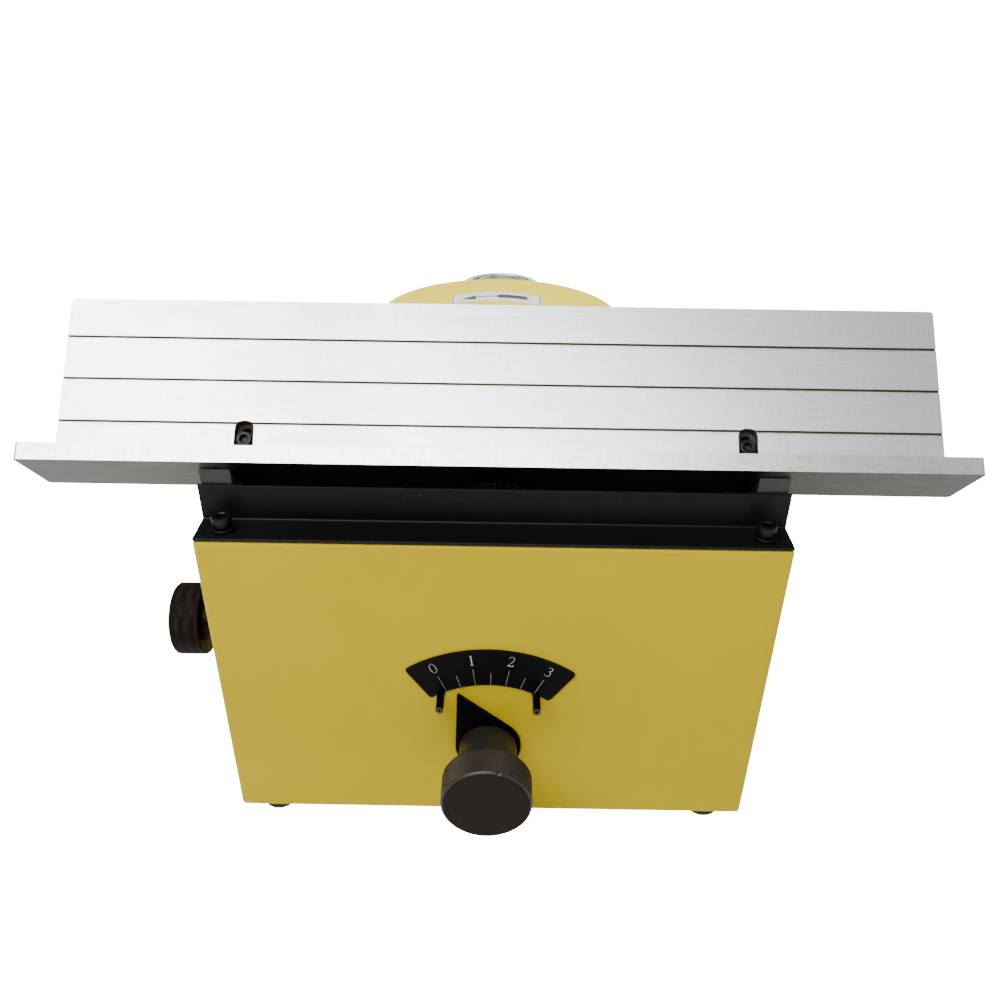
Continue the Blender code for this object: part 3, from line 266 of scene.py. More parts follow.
def ground_steel():
    """The fence and the front guide's working faces."""
    colour, shade, warm = tint(246, 248, 255), tint(206, 208, 214), tint(205, 196, 170)
    made = Finish("ground_steel", colour, 0.30, 1.0)
    x, y, z = made.axes()
    along = (y - APEX.y) * SQ + (z - APEX.z) * SQ
    lines = made.noise(1, 3, (40, 1500, 1500))
    cross = made.noise(1, 2, (1500, 120, 120))
    cloud = made.noise(14, 4).ramp(0.3, 0.7)
    dull_band = 1 - absolute(x + 0.098).ramp(0.0, 0.045)
    body = made.mix(cloud * 0.2 + lines.ramp(0.3, 0.7) * 0.35 + cross.ramp(0.3, 0.7) * 0.3 + dull_band * 0.35,
                    colour, shade)
    ragged = made.noise(1, 3, (90, 700, 700))
    burr, groove_dark = 0, 0
    for groove in GROOVES:
        burr = burr + (1 - absolute(along - (groove - 0.0014)).ramp(0.0002, 0.0010))
        # A dark olive band along each groove, wider than the cut, with ragged edges.
        groove_dark = groove_dark + (1 - absolute(along - groove).ramp(0.0005, 0.0008 + ragged * 0.0004))
    body = made.mix(burr * ragged.ramp(0.40, 0.62) * 0.7, body, warm)
    body = made.mix(groove_dark * 0.93, body, tint(50, 50, 34))
    aside, up = x - (BOX_X - SCREW_X), along - SCREW_UP
    squared = aside * aside + up * up
    radius = squared.math("SQRT", squared)
    scuff = (1 - absolute(radius - 0.0092).ramp(0.0001, 0.0006)) * (aside < -0.002)
    scratch = (1 - absolute(along - x * 0.05 - 0.0905).ramp(0.00005, 0.0003)) * (x < 0.045) * (x > -0.03)
    body = made.mix(scuff * 0.25 + scratch * 0.5, body, tint(140, 140, 140))
    made.set("Base Color", body)
    made.set("Roughness", 0.27 + lines * 0.08 + cloud * 0.04 + cross * 0.05)
    made.bump(lines + cross * 0.6, 0.000012)
    return made


def guide_underside():
    """Grey mill finish at the ends; between the two supports the colour is painted near-black as shade."""
    made = Finish("guide_underside", tint(88, 87, 84), 0.45, 1.0)
    x, y, z = made.axes()
    lines = made.noise(1, 3, (25, 900, 900))
    pits = made.noise(1, 2, (90, 420, 420)).ramp(0.70, 0.76)
    # Painted shade: near-black between the two supports, where the guide hangs over the box.
    between = 1 - absolute(x - BOX_X).ramp(0.128, 0.142)
    body = made.mix(lines.ramp(0.3, 0.7) * 0.6, tint(90, 88, 85), tint(70, 69, 66))
    body = made.mix(pits * 0.7, body, tint(30, 30, 28))
    made.set("Base Color", made.mix(between * 0.97, body, tint(10, 10, 10)))
    made.set("Roughness", 0.42 + lines * 0.1 + between * 0.3)
    made.bump(lines, 0.00001)
    return made


def cross_ground():
    """The front guide's upper edge: ground across its length, with a thin dark line along its inner side."""
    made = Finish("cross_ground", tint(240, 242, 248), 0.34, 1.0)
    x, y, z = made.axes()
    along = (y - APEX.y) * SQ + (z - APEX.z) * SQ
    lines = made.noise(1, 3, (1300, 120, 120))
    patch = made.noise(1, 3, (120, 300, 300)).ramp(0.45, 0.65)
    body = made.mix(lines.ramp(0.3, 0.7) * 0.5 + patch * 0.3, tint(246, 248, 254), tint(196, 198, 204))
    inner = (along + 0.0002).ramp(0.0, 0.0004)
    made.set("Base Color", made.mix(inner * 0.85, body, tint(70, 70, 72)))
    made.set("Roughness", 0.30 + lines * 0.1)
    made.bump(lines, 0.00001)
    return made


steel = ground_steel()
underside_steel, strip_steel = guide_underside(), cross_ground()
dull_steel = metal("dull_steel", tint(118, 115, 111), tint(84, 82, 79), 0.45, (25, 900, 900), patch=22)
turned_steel = metal("turned_steel", tint(176, 176, 180), tint(150, 150, 155), 0.30, (600, 600, 3200))
oxide = metal("black_oxide", tint(30, 29, 29), tint(22, 22, 22), 0.38, (700, 700, 700), 0.00001, 0.7)
blued = metal("blued_steel", tint(62, 60, 60), tint(50, 49, 49), 0.45, (500, 500, 500), 0.00001, 0.6)
matte_oxide = metal("matte_oxide", tint(16, 16, 16), tint(11, 11, 11), 0.6, (500, 500, 500), 0.00001, 0.4)
browned = metal("browned_steel", tint(62, 58, 54), tint(52, 49, 46), 0.42, (300, 2400, 300), 0.00001, 0.8)
dark_browned = metal("dark_browned", tint(38, 34, 32), tint(33, 30, 28), 0.42, (300, 300, 300), 0.00001, 1.0)
aluminium = metal("aluminium", tint(214, 214, 212), tint(190, 190, 188), 0.24, (500, 500, 2600))
brass = metal("brass", tint(214, 178, 104), tint(186, 150, 82), 0.28, (500, 500, 2600))
carbide = metal("carbide", tint(140, 136, 130), tint(120, 116, 110), 0.25, (900, 900, 900))
casting = metal("grey_casting", tint(96, 96, 99), tint(80, 80, 83), 0.62, (420, 420, 420), 0.00012, 0.25)
# A dark olive colour for the fence's groove faces and the guide's inner top edge.
dark_olive_metal = metal("dark_olive_metal", tint(70, 70, 48), tint(36, 35, 24), 0.75, (90, 900, 900), 0.00002, 0.1)
slot_dirt = metal("slot_dirt", tint(58, 52, 38), tint(34, 31, 22), 0.75, (300, 300, 300), 0.00002, 0.0)
print("metals:", len([made for made in bpy.data.materials if made.name != "Material"]))

# %% [markdown]
# ## Rubber, plastic and print
# Rubber and moulded plastic are rough and dark with a fine grain. The print on the scale and on the
# table's label is flat ink, so it is a colour with almost no shine.


# %% Moulded and printed finishes
def moulded(name, colour, shade, roughness, grain, depth):
    made = Finish(name, colour, roughness)
    texture = made.noise(grain, 3)
    made.set("Base Color", made.mix(texture.ramp(0.3, 0.7) * 0.6, colour, shade))
    made.set("Roughness", roughness + (texture - 0.5) * 0.2)
    made.bump(texture, depth)
    return made


rubber = moulded("rubber", tint(30, 30, 30), tint(20, 20, 20), 0.78, 900, 0.00008)
plastic = moulded("black_plastic", tint(28, 28, 30), tint(22, 22, 24), 0.45, 1400, 0.00003)
ink_grey = moulded("grey_ink", tint(168, 168, 160), tint(140, 140, 134), 0.6, 2500, 0.00001)
ink_dark = moulded("dark_ink", tint(52, 56, 52), tint(44, 48, 44), 0.6, 2500, 0.00001)
label_white = moulded("label_film", tint(236, 236, 230), tint(228, 228, 222), 0.45, 700, 0.00001)
floor_pale = moulded("pale_floor", tint(244, 244, 244), tint(241, 241, 241), 0.9, 40, 0.00002)

# %% [markdown]
# ## Three ways to make a body
# Nearly everything on a machine tool is turned, cut from plate or drilled. `turned` spins a profile and
# lets a radius depend on angle and height, which is all that a knurl, a thread or a hex socket needs.
# `plate` thickens a flat outline, holes included. `cut` takes one body out of another.


# %% Turning
def soften(points, loop=False, steps=4):
    """Round the corners that carry a third number, their radius."""
    rounded = []
    last = len(points) - 1
    for index, point in enumerate(points):
        corner = Vector(point[:2]) if not callable(point[0]) else None
        radius = point[2] if len(point) > 2 else 0
        if not radius or (not loop and index in (0, last)):
            rounded.append(tuple(point[:2]))
            continue
        before = (Vector(points[index - 1][:2]) - corner)
        after = (Vector(points[(index + 1) % len(points)][:2]) - corner)
        reach = min(radius, before.length * 0.49, after.length * 0.49)
        start, end = corner + before.normalized() * reach, corner + after.normalized() * reach
        for step in range(steps + 1):
            share = step / steps
            bend = start * (1 - share) ** 2 + corner * 2 * share * (1 - share) + end * share ** 2
            rounded.append((bend.x, bend.y))
    return rounded


def facing(axis):
    return UP.rotation_difference(Vector(axis)).to_matrix()


def turned(profile, origin, axis=UP, steps=72, loop=False):
    """A mesh from (radius, height) points spun about the axis; a radius may be a function."""
    bm, turn, rings = bmesh.new(), facing(axis), []
    for radius, height in profile:
        count = 1 if radius == 0 else steps
        ring = []
        for step in range(count):
            angle = 2 * math.pi * step / count
            r = radius(angle, height) if callable(radius) else radius
            point = Vector((r * math.cos(angle), r * math.sin(angle), height))
            ring.append(bm.verts.new(Vector(origin) + turn @ point))
        rings.append(ring)
    pairs = list(zip(rings, rings[1:])) + ([(rings[-1], rings[0])] if loop else [])
    for upper, lower in pairs:
        for step in range(steps):
            after = (step + 1) % steps
            corners = [upper[step % len(upper)], upper[after % len(upper)],
                       lower[after % len(lower)], lower[step % len(lower)]]
            bm.faces.new(list(dict.fromkeys(corners)))
    return finished(bm)


def finished(bm):
    bmesh.ops.recalc_face_normals(bm, faces=bm.faces)
    mesh = bpy.data.meshes.new("mesh")
    bm.to_mesh(mesh)
    bm.free()
    return mesh


# %% Plates and boxes
def plate(outlines, thickness, centre, turn=Matrix.Identity(3)):
    """A flat outline, and any holes in it, thickened both ways along its own Z."""
    curve = bpy.data.curves.new("outline", "CURVE")
    curve.dimensions, curve.fill_mode, curve.extrude = "2D", "BOTH", thickness / 2
    for outline in outlines:
        spline = curve.splines.new("POLY")
        spline.points.add(len(outline) - 1)
        spline.use_cyclic_u = True
        for point, (x, y) in zip(spline.points, outline):
            point.co = (x, y, 0, 1)
    holder = bpy.data.objects.new("outline", curve)
    bpy.context.scene.collection.objects.link(holder)
    mesh = bpy.data.meshes.new_from_object(holder.evaluated_get(bpy.context.evaluated_depsgraph_get()))
    bpy.data.objects.remove(holder)
    mesh.materials.clear()
    bm = bmesh.new()
    bm.from_mesh(mesh)
    bmesh.ops.remove_doubles(bm, verts=bm.verts, dist=0.000001)
    bmesh.ops.transform(bm, matrix=Matrix.Translation(centre) @ turn.to_4x4(), verts=bm.verts)
    return finished(bm)


def block(low, high, turn=Matrix.Identity(3), centre=(0, 0, 0)):
    low, high = Vector(low), Vector(high)
    bm = bmesh.new()
    bmesh.ops.create_cube(bm, size=1)
    bmesh.ops.scale(bm, vec=high - low, verts=bm.verts)
    bmesh.ops.translate(bm, vec=(low + high) / 2, verts=bm.verts)
    bmesh.ops.transform(bm, matrix=Matrix.Translation(centre) @ turn.to_4x4(), verts=bm.verts)
    return finished(bm)


def rounded(width, height, radius):
    half_x, half_y = width / 2, height / 2
    corners = ((half_x, half_y), (half_x, -half_y), (-half_x, -half_y), (-half_x, half_y))
    return soften([(*corner, radius) for corner in corners], True, 6)


def polar(centre, radius, angle):
    """A point at an angle measured clockwise from straight up."""
    return (centre[0] + radius * math.sin(angle), centre[1] + radius * math.cos(angle))


def arc(centre, radius, first, last, steps):
    return [polar(centre, radius, first + (last - first) * step / steps) for step in range(steps + 1)]


# %% Cutting, rounding and placing
def piece(name, mesh, finish, body, stands_for=(), cutters=(), edge=0, added=(), angle=30):
    """Cut and round a mesh, give it its finish and let it ride on its body."""
    obj = bpy.data.objects.new(name, mesh)
    bpy.context.scene.collection.objects.link(obj)
    tools = []
    for operation, meshes in (("UNION", added), ("DIFFERENCE", cutters)):
        for tool_mesh in meshes:
            tool = bpy.data.objects.new("tool", tool_mesh)
            bpy.context.scene.collection.objects.link(tool)
            modifier = obj.modifiers.new("cut", "BOOLEAN")
            modifier.object, modifier.operation, modifier.solver = tool, operation, "EXACT"
            tools.append(tool)
    if edge:
        mesh.shade_smooth()
        rim = obj.modifiers.new("edge", "BEVEL")
        rim.width, rim.segments, rim.limit_method = edge, 3, "ANGLE"
        rim.angle_limit, rim.harden_normals = math.radians(angle), True
        rim.use_clamp_overlap = True
    if obj.modifiers:
        evaluated = obj.evaluated_get(bpy.context.evaluated_depsgraph_get())
        obj.data = bpy.data.meshes.new_from_object(evaluated)
        obj.modifiers.clear()
    for tool in tools:
        bpy.data.objects.remove(tool)
    if not edge:
        obj.data.shade_smooth()
        obj.data.set_sharp_from_angle(angle=math.radians(32))
    obj.data.materials.clear()
    obj.data.materials.append(finish.material)
    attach(obj, body)
    if stands_for:
        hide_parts(*([stands_for] if isinstance(stands_for, str) else stands_for))
    return obj


def paint_faces(obj, finish, chosen):
    """Give the faces whose centre and normal pass the test a second finish."""
    obj.data.materials.append(finish.material)
    index = len(obj.data.materials) - 1
    count = 0
    for face in obj.data.polygons:
        if chosen(face.center, face.normal):
            face.material_index = index
            count += 1
    print(obj.name, "faces with", finish.material.name, count)


def hole(start, end, radius, steps=48):
    start, end = Vector(start), Vector(end)
    length = (end - start).length
    return turned([(0, length), (radius, length), (radius, 0), (0, 0)], start, end - start, steps)


def in_box(x, back, rise):
    """A point from the box's middle, its front panel and its top."""
    return Vector((BOX_X + x, FRONT + back, TOP + rise))


# %% [markdown]
# ## The box
# The real box is folded from one 2 mm sheet, so its five outer folds have a radius and its sheet edges
# show at the bottom and the rear. Building the outer skin, rounding the folds and then thickening it
# inwards gives the same result as the press brake: even walls that turn the corners.

# %% Fold the shell
FOLD = 0.0021
bm = bmesh.new()
bmesh.ops.create_cube(bm, size=1)
bmesh.ops.scale(bm, vec=shell_high - shell_low, verts=bm.verts)
bmesh.ops.translate(bm, vec=(shell_low + shell_high) / 2, verts=bm.verts)
open_faces = [face for face in bm.faces if face.normal.z < -0.5 or face.normal.y > 0.5]
bmesh.ops.delete(bm, geom=open_faces, context="FACES_ONLY")
folds = [edge for edge in bm.edges if len(edge.link_faces) == 2]
bmesh.ops.bevel(bm, geom=folds, offset=FOLD, segments=5, profile=0.5, affect="EDGES")
skin = bpy.data.objects.new("skin", finished(bm))
bpy.context.scene.collection.objects.link(skin)
wall = skin.modifiers.new("wall", "SOLIDIFY")
wall.thickness, wall.offset, wall.use_even_offset = SHEET, -1, True
shell_mesh = bpy.data.meshes.new_from_object(skin.evaluated_get(bpy.context.evaluated_depsgraph_get()))
bpy.data.objects.remove(skin)

THROUGH = 0.006
PIN_CIRCLE, PIN_ANGLE, PIN_RADIUS = 0.0450, math.radians(36.0), 0.0022
pins = [DIAL + Vector((sign * math.sin(PIN_ANGLE), 0, math.cos(PIN_ANGLE))) * PIN_CIRCLE for sign in (-1, 1)]
bolts = [in_box(sign * 0.1374, 0.010, 0) for sign in (-1, 1)]


def down_through(point, radius):
    flat = Vector((point.x, point.y, TOP))
    return hole(flat - UP * THROUGH, flat + UP * THROUGH, radius)


shell_holes = [
    down_through(cutter_axis, 0.020), down_through(table_axis, 0.025), down_through(wheel_axis, 0.0093),
    hole(DIAL - FORWARD * THROUGH, DIAL + FORWARD * THROUGH, 0.0103),
    *[hole(pin - FORWARD * THROUGH, pin + FORWARD * THROUGH, PIN_RADIUS + GAP) for pin in pins],
    *[down_through(bolt, 0.0033) for bolt in bolts]]
lock_hole = Vector((shell_low.x, lock_axis.y, lock_axis.z))
shell_holes.append(hole(lock_hole - RIGHT * THROUGH, lock_hole + RIGHT * THROUGH, 0.0053))
ROUND, SPARE = 0.0025, 0.001
for sign in (-1, 1):
    side, foot = BOX_X + sign * BOX_HALF, shell_low.z
    bite = [(side + sign * SPARE, foot - SPARE), (side + sign * SPARE, foot + ROUND), (side, foot + ROUND)]
    bite += [(side - sign * ROUND * (1 - math.cos(turn)), foot + ROUND * (1 - math.sin(turn)))
             for turn in [math.pi / 2 * step / 6 for step in range(1, 7)]]
    bite += [(side - sign * ROUND, foot - SPARE)]
    shell_holes.append(plate([bite], 0.010, Vector((0, FRONT, 0)), facing(FORWARD)))
shell = piece("folded_shell", shell_mesh, yellow, "housing", "housing_shell", shell_holes,
              0.0003)
print("shell faces:", len(shell.data.polygons))

# %% [markdown]
# ## Base, feet and rear panel
# A flat base closes the bottom. Each rubber foot has a crowned edge and a deep hole with its screw
# inside. The rear panel is a separate sheet with ventilation slots and six small screws.

# %% Base, feet, rear panel
base_low, base_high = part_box("base_plate")
piece("base_sheet", block(base_low, base_high), satin_black, "housing", "base_plate", (),
      0.0004)
for end in ("front", "rear"):
    for side in ("left", "right"):
        low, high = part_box(f"foot_{end}_{side}")
        radius, height = (high.x - low.x) / 2, high.z - low.z
        origin = Vector(((low.x + high.x) / 2, (low.y + high.y) / 2, 0))
        profile = soften([
            (0, height), (radius * 0.93, height, 0.0006), (radius, height * 0.6, 0.003),
            (radius * 0.96, 0, 0.0015), (0.0045, 0, 0.0005), (0.0042, 0.0035, 0.0005), (0, 0.0035)],
            steps=5)
        piece(f"rubber_foot_{end}_{side}", turned(profile, origin), rubber, "housing",
              f"foot_{end}_{side}")
        head = soften([
            (0, 0.0032), (0.0034, 0.0032), (0.0036, 0.0022, 0.0006), (0.0030, 0.0010, 0.0006), (0, 0.0006)])
        piece(f"foot_screw_{end}_{side}", turned(head, origin, steps=36), oxide, "housing")

panel_low, panel_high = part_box("rear_panel")
SWITCH = Vector((BOX_X + 0.085, REAR, 0.115))
INLET = Vector((BOX_X + 0.085, REAR, 0.060))
upright = facing(FORWARD)
openings = []
for row in range(6):
    vent = Vector((BOX_X - 0.085, REAR, 0.115 + (row - 2.5) * 0.010))
    openings.append(plate([rounded(0.060, 0.004, 0.0019)], 0.01, vent, upright))
for fitting, half_x, half_z in ((SWITCH, 0.0108, 0.0153), (INLET, 0.0143, 0.0103)):
    corner = Vector((half_x, 0.01, half_z))
    openings.append(block(fitting - corner, fitting + corner))
piece("vented_panel", block(panel_low, panel_high), yellow, "housing", "rear_panel",
      openings, 0.0003)


def lobed_recess(angle, height):
    """The six lobes of a driver recess."""
    return 0.0010 + 0.0004 * math.cos(6 * angle)


panel_centre = (panel_low + panel_high) / 2
for index, (sx, sz) in enumerate(((-1, -1), (-1, 1), (0, -1), (0, 1), (1, -1), (1, 1))):
    spot = Vector((panel_centre.x + sx * 0.138, REAR, panel_centre.z + sz * 0.080))
    head = soften([(0.0034, 0), (0.0032, 0.0010, 0.0008), (0.0018, 0.0017, 0.0004)], steps=4)
    profile = [(0, 0), *head, (0.0014, 0.0018), (lobed_recess, 0.0017), (lobed_recess, 0.0008),
               (0, 0.0006)]
    piece(f"panel_screw_{index + 1}", turned(profile, spot, -FORWARD, 36), oxide, "housing")

# %% [markdown]
# ## Switch and inlet
# Both fittings clip into the rear panel: a bezel with soft corners, a recess, and inside it either the
# rocker or three flat pins. Each is one plate with a body added behind and a recess cut in.

# %% Switch, rocker and inlet
LIP = REAR + GAP
FITTING_DEPTH, WALL = 0.022, 0.0025
for name, centre, half_x, half_z, corner in (
        ("switch_body", SWITCH, 0.0105, 0.015, 0.0012), ("mains_inlet", INLET, 0.014, 0.010, 0.003)):
    bezel = plate([rounded(half_x * 2 + 0.006, half_z * 2 + 0.006, 0.002)], 0.002,
                  Vector((centre.x, LIP + 0.001, centre.z)), upright)
    body = block((centre.x - half_x, REAR - FITTING_DEPTH, centre.z - half_z),
                 (centre.x + half_x, LIP + 0.001, centre.z + half_z))
    recess = plate([rounded((half_x - WALL) * 2, (half_z - WALL) * 2, corner)], 2 * FITTING_DEPTH * 0.7,
                   Vector((centre.x, LIP + 0.002, centre.z)), upright)
    piece(f"moulded_{name}", bezel, plastic, "housing", name, [recess], 0.0004, [body])
for index, offset in enumerate((-0.007, 0, 0.007)):
    foot = Vector((INLET.x + offset, LIP + 0.002 - 0.0154, INLET.z + (0.002 if offset == 0 else -0.001)))
    blade = block(foot - Vector((0.001, 0.0005, 0.002)), foot + Vector((0.001, 0.009, 0.002)))
    piece(f"inlet_pin_{index + 1}", blade, turned_steel, "housing", (), (), 0.0005)

rock_low, rock_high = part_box("switch_rocker")
rock_axis = Vector((SWITCH.x, LIP + 0.002 - 0.006, SWITCH.z))
tilt = Matrix.Rotation(math.radians(8), 3, "X")
crest, dip, reach, foot = 0.0078, 0.0062, 0.0113, -0.001
wave = [(crest - (crest - dip) * math.cos(math.pi / 2 * z / reach) ** 2, z)
        for z in [reach * (step / 8 - 1) for step in range(17)]]
outline = soften([(foot, -reach, 0.0008), (wave[0][0], wave[0][1], 0.0008), *wave[1:-1],
                  (wave[-1][0], wave[-1][1], 0.0008), (foot, reach, 0.0008)], True)
side_on = Matrix(((0, 0, 1), (1, 0, 0), (0, 1, 0)))
piece("rocker_button", plate([outline], rock_high.x - rock_low.x, rock_axis, tilt @ side_on), plastic,
      "rocker", "switch_rocker", (), 0.0004)

# %% [markdown]
# ## The V of ground plates
# The fence is 10 mm plate and the front guide 9 mm, both with rounded corners. In the V's own frame,
# local Y climbs the fence and local Z climbs the front guide, so each plate is a plain slab there and one
# turn of 45 degrees puts both in place. A slit of 0.6 mm parts them both ways, so the fence can slide
# down under the guide's foot. Grooves, screw slots and the cutter's window are cut last.

# %% Fence and front guide
slope = Matrix.Rotation(math.radians(45), 3, "X")
LENGTH, THICK, GUIDE_THICK, SLIT = 0.480, 0.010, 0.009, 0.0006
FENCE_WIDTH, GUIDE_WIDTH = 0.0986, 0.0406


def on_fence(x, along, out):
    """A world point from a distance up the fence and out of its face."""
    return APEX + slope @ Vector((x, along, out))


window_foot = Vector((cutter_axis.x, cutter_axis.y, TOP))
fence_cuts = [hole(window_foot - UP * 0.02, window_foot + UP * (APEX_RISE + 0.006), 0.025, 72)]
for along in GROOVES:
    fence_cuts.append(block((-LENGTH, along - 0.0005, -0.001), (LENGTH, along + 0.0005, 0.002), slope, APEX))
for sign in (-1, 1):
    spot = on_fence(BOX_X + sign * SCREW_X, SCREW_UP, 0)
    fence_cuts.append(plate([rounded(0.0105, 0.0204, 0.0052)], 0.011, spot, slope))
    fence_cuts.append(plate([rounded(0.0056, 0.0155, 0.0024)], 0.030, spot, slope))
fence_slab = plate([rounded(LENGTH, FENCE_WIDTH - SLIT, 0.002)], THICK,
                   on_fence(0, (FENCE_WIDTH + SLIT) / 2, -THICK / 2), slope)
fence = piece("ground_fence", fence_slab, steel, "fence", "fence_plate", fence_cuts, 0.0004)


def in_groove(centre, normal):
    local = slope.transposed() @ (centre - APEX)
    near = any(abs(local.y - along) < 0.00055 for along in GROOVES)
    return near and -0.0012 < local.z < -0.0003


def in_slot(centre, normal):
    local = slope.transposed() @ (centre - APEX)
    near = abs(abs(centre.x - BOX_X) - SCREW_X) < 0.0058 and abs(local.y - SCREW_UP) < 0.0108
    return near and -0.0099 < local.z < -0.00025


paint_faces(fence, dark_olive_metal, in_groove)
paint_faces(fence, slot_dirt, in_slot)
paint_faces(fence, dull_steel, lambda centre, normal: (slope.transposed() @ normal).z < -0.5)

guide_turn = slope @ facing(FORWARD)
guide_slab = plate([rounded(LENGTH, GUIDE_WIDTH - SLIT, 0.002)], GUIDE_THICK,
                   APEX + slope @ Vector((0, -GUIDE_THICK / 2, (GUIDE_WIDTH + SLIT) / 2)), guide_turn)
guide_cut = hole(window_foot - UP * 0.02, window_foot + UP * (APEX_RISE + 0.003), 0.0195, 72)
guide = piece("ground_guide", guide_slab, steel, "housing", "front_guide_plate", [guide_cut],
              0.0005)


def inner_edge(centre, normal):
    local = slope.transposed() @ normal
    return 0.3 < local.y < 0.95 and local.z > 0.2


paint_faces(guide, underside_steel, lambda centre, normal: (slope.transposed() @ normal).y < -0.6)
paint_faces(guide, strip_steel, lambda centre, normal: (slope.transposed() @ normal).z > 0.9)
paint_faces(guide, dark_olive_metal, inner_edge)

# %% [markdown]
# ## Screws
# A socket-head cap screw has a straight knurl round its head and a hexagonal socket. Both are only a
# radius that changes with the angle, so one turned profile makes the whole screw.


# %% Cap screws
def hexagon(apothem):
    """The radius of a hexagon of that apothem at an angle."""
    return lambda angle, height: apothem / math.cos((angle % (math.pi / 3)) - math.pi / 6)


def ribbed(radius, depth, count):
    return lambda angle, height: radius - depth * (0.5 - 0.5 * math.cos(count * angle))


def cap_screw(name, node, head_width, head_height, shank_width, key, length, body):
    """A socket-head cap screw on the seat of its CAD node."""
    seat, axis = screw_seats[node]
    head, shank, soft = head_width / 2, shank_width / 2, head_width * 0.06
    rim = [(head - soft, head_height), (head - soft * 0.35, head_height - soft * 0.25)]
    rib = ribbed(head, 0.0001, 48)
    mouth = key / 2 * 1.22
    profile = [
        (0, head_height * 0.36), (hexagon(key / 2), head_height * 0.42),
        (hexagon(key / 2), head_height - 0.0005),
        (mouth, head_height - 0.00005), (mouth + 0.0001, head_height), *rim, (rib, head_height - soft),
        (rib, 0.0006), (head - 0.0003, 0.0001), (head - 0.0006, 0), (shank, 0), (shank, -length + 0.0005),
        (shank - 0.0005, -length), (0, -length)]
    return piece(name, turned(profile, seat, axis, 192), oxide, body, node)


fence_normal = slope @ UP
screw_seats = {}
for side, sign in (("left", -1), ("right", 1)):
    slot_seat = on_fence(BOX_X + sign * SCREW_X, SCREW_UP, GAP - 0.0055)
    screw_seats[f"fence_screw_{side}"] = (slot_seat, fence_normal)
for node, head_height in (("guard_screw_left", 0.006), ("guard_screw_right", 0.006), ("cutter_screw", 0.007)):
    low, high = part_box(node)
    upright_seat = Vector(((low.x + high.x) / 2, (low.y + high.y) / 2, high.z - head_height))
    screw_seats[node] = (upright_seat, UP)
for side in ("left", "right"):
    cap_screw(f"fence_bolt_{side}", f"fence_screw_{side}", 0.0085, 0.005, 0.005, 0.004, 0.018, "housing")
    cap_screw(f"guard_bolt_{side}", f"guard_screw_{side}", 0.010, 0.006, 0.006, 0.005, 0.014, "housing")
    low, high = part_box(f"guard_washer_{side}")
    washer = soften([(0.0034, 0.0015, 0.0002), (0.006, 0.0015, 0.0003), (0.006, 0, 0.0003),
                     (0.0034, 0, 0.0002)], True)
    origin = Vector(((low.x + high.x) / 2, (low.y + high.y) / 2, low.z))
    piece(f"bolt_washer_{side}", turned(washer, origin, loop=True), oxide, "housing",
          f"guard_washer_{side}")
cap_screw("cutter_bolt", "cutter_screw", 0.013, 0.007, 0.008, 0.006, 0.024, "spindle")

# %% [markdown]
# ## Bracket, supports and gussets
# The bracket under the front guide is one bent sheet, so its section has an inner and an outer bend
# radius. The supports and gussets are machined wedges, each a cross-section carried along X.

# %% Guard bracket and wedges
low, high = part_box("guard_bracket")
bend, sheet = 0.0012, 0.0015
outline = soften([
    (low.y, low.z, 0.0002), (low.y, low.z + sheet, 0.0005), (high.y - sheet, low.z + sheet, bend),
    (high.y - sheet, high.z, 0.0005), (high.y, high.z, 0.0005), (high.y, low.z, bend + sheet)], True, 6)
bolt_holes = [hole(bolt - UP * 0.004, bolt + UP * 0.006, 0.0033) for bolt in bolts]
piece("guard_angle", plate([outline], high.x - low.x, Vector(((low.x + high.x) / 2, 0, 0)), side_on),
      satin_black, "housing", "guard_bracket", bolt_holes, 0.0003)
for side in ("left", "right"):
    low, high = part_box(f"guide_support_{side}")
    outline = [(low.y, low.z), (low.y, high.z), (high.y, low.z)]
    centre = Vector(((low.x + high.x) / 2, 0, 0))
    piece(f"guide_wedge_{side}", plate([outline], high.x - low.x, centre, side_on), blued, "housing",
          f"guide_support_{side}", (), 0.0005)
    low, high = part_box(f"fence_gusset_{side}")
    nose, back = 0.003, 0.012
    outline = [(low.y, low.z), (low.y, low.z + nose), (high.y - back, high.z), (high.y, high.z),
               (high.y, low.z)]
    centre = Vector(((low.x + high.x) / 2, 0, 0))
    seat, axis = screw_seats[f"fence_screw_{side}"]
    piece(f"fence_wedge_{side}", plate([outline], high.x - low.x, centre, side_on), oxide, "housing",
          f"fence_gusset_{side}", [hole(seat, seat - axis * 0.030, 0.0028)], 0.0005)

# %% [markdown]
# ## The dial's scale
# The scale is a thin black arc. Its ticks run from 0 to 3 in half steps, long at the whole numbers. The
# numerals are drawn as strokes: a smooth line through a few points, with a width at each point, which
# gives the thick and thin of an engraver's serif figures.

# %% Scale plate and ticks
SCALE_DROP, SCALE_OUTER, SCALE_INNER = 0.0123, 0.0804, 0.056
LEFT, RIGHT_END = math.radians(-35.0), math.radians(36.7)
FIRST_TICK, TICK_STEP = math.radians(-24.36), math.radians(8.48)
centre = (0, -SCALE_DROP)
corner = 0.0028
outline = [polar(centre, radius, LEFT) + (corner,) for radius in (SCALE_INNER, SCALE_OUTER)]
outline += arc(centre, SCALE_OUTER, LEFT, RIGHT_END, 40)[2:-2]
outline += [polar(centre, radius, RIGHT_END) + (corner,) for radius in (SCALE_OUTER, SCALE_INNER)]
outline += arc(centre, SCALE_INNER, RIGHT_END, LEFT, 32)[2:-2]
on_panel = Matrix(((1, 0, 0), (0, 0, -1), (0, 1, 0)))
scale_low, scale_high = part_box("scale_plate")
scale_y = (scale_low.y + scale_high.y) / 2
scale_cuts = [hole(pin - FORWARD * 0.01, pin + FORWARD * 0.01, PIN_RADIUS + GAP) for pin in pins]
scale_mesh = plate([soften(outline, True, 5)], scale_high.y - scale_low.y, Vector((DIAL.x, scale_y, DIAL.z)),
                   on_panel)
piece("dial_scale", scale_mesh, lacquer, "housing", "scale_plate", scale_cuts, 0.00012)

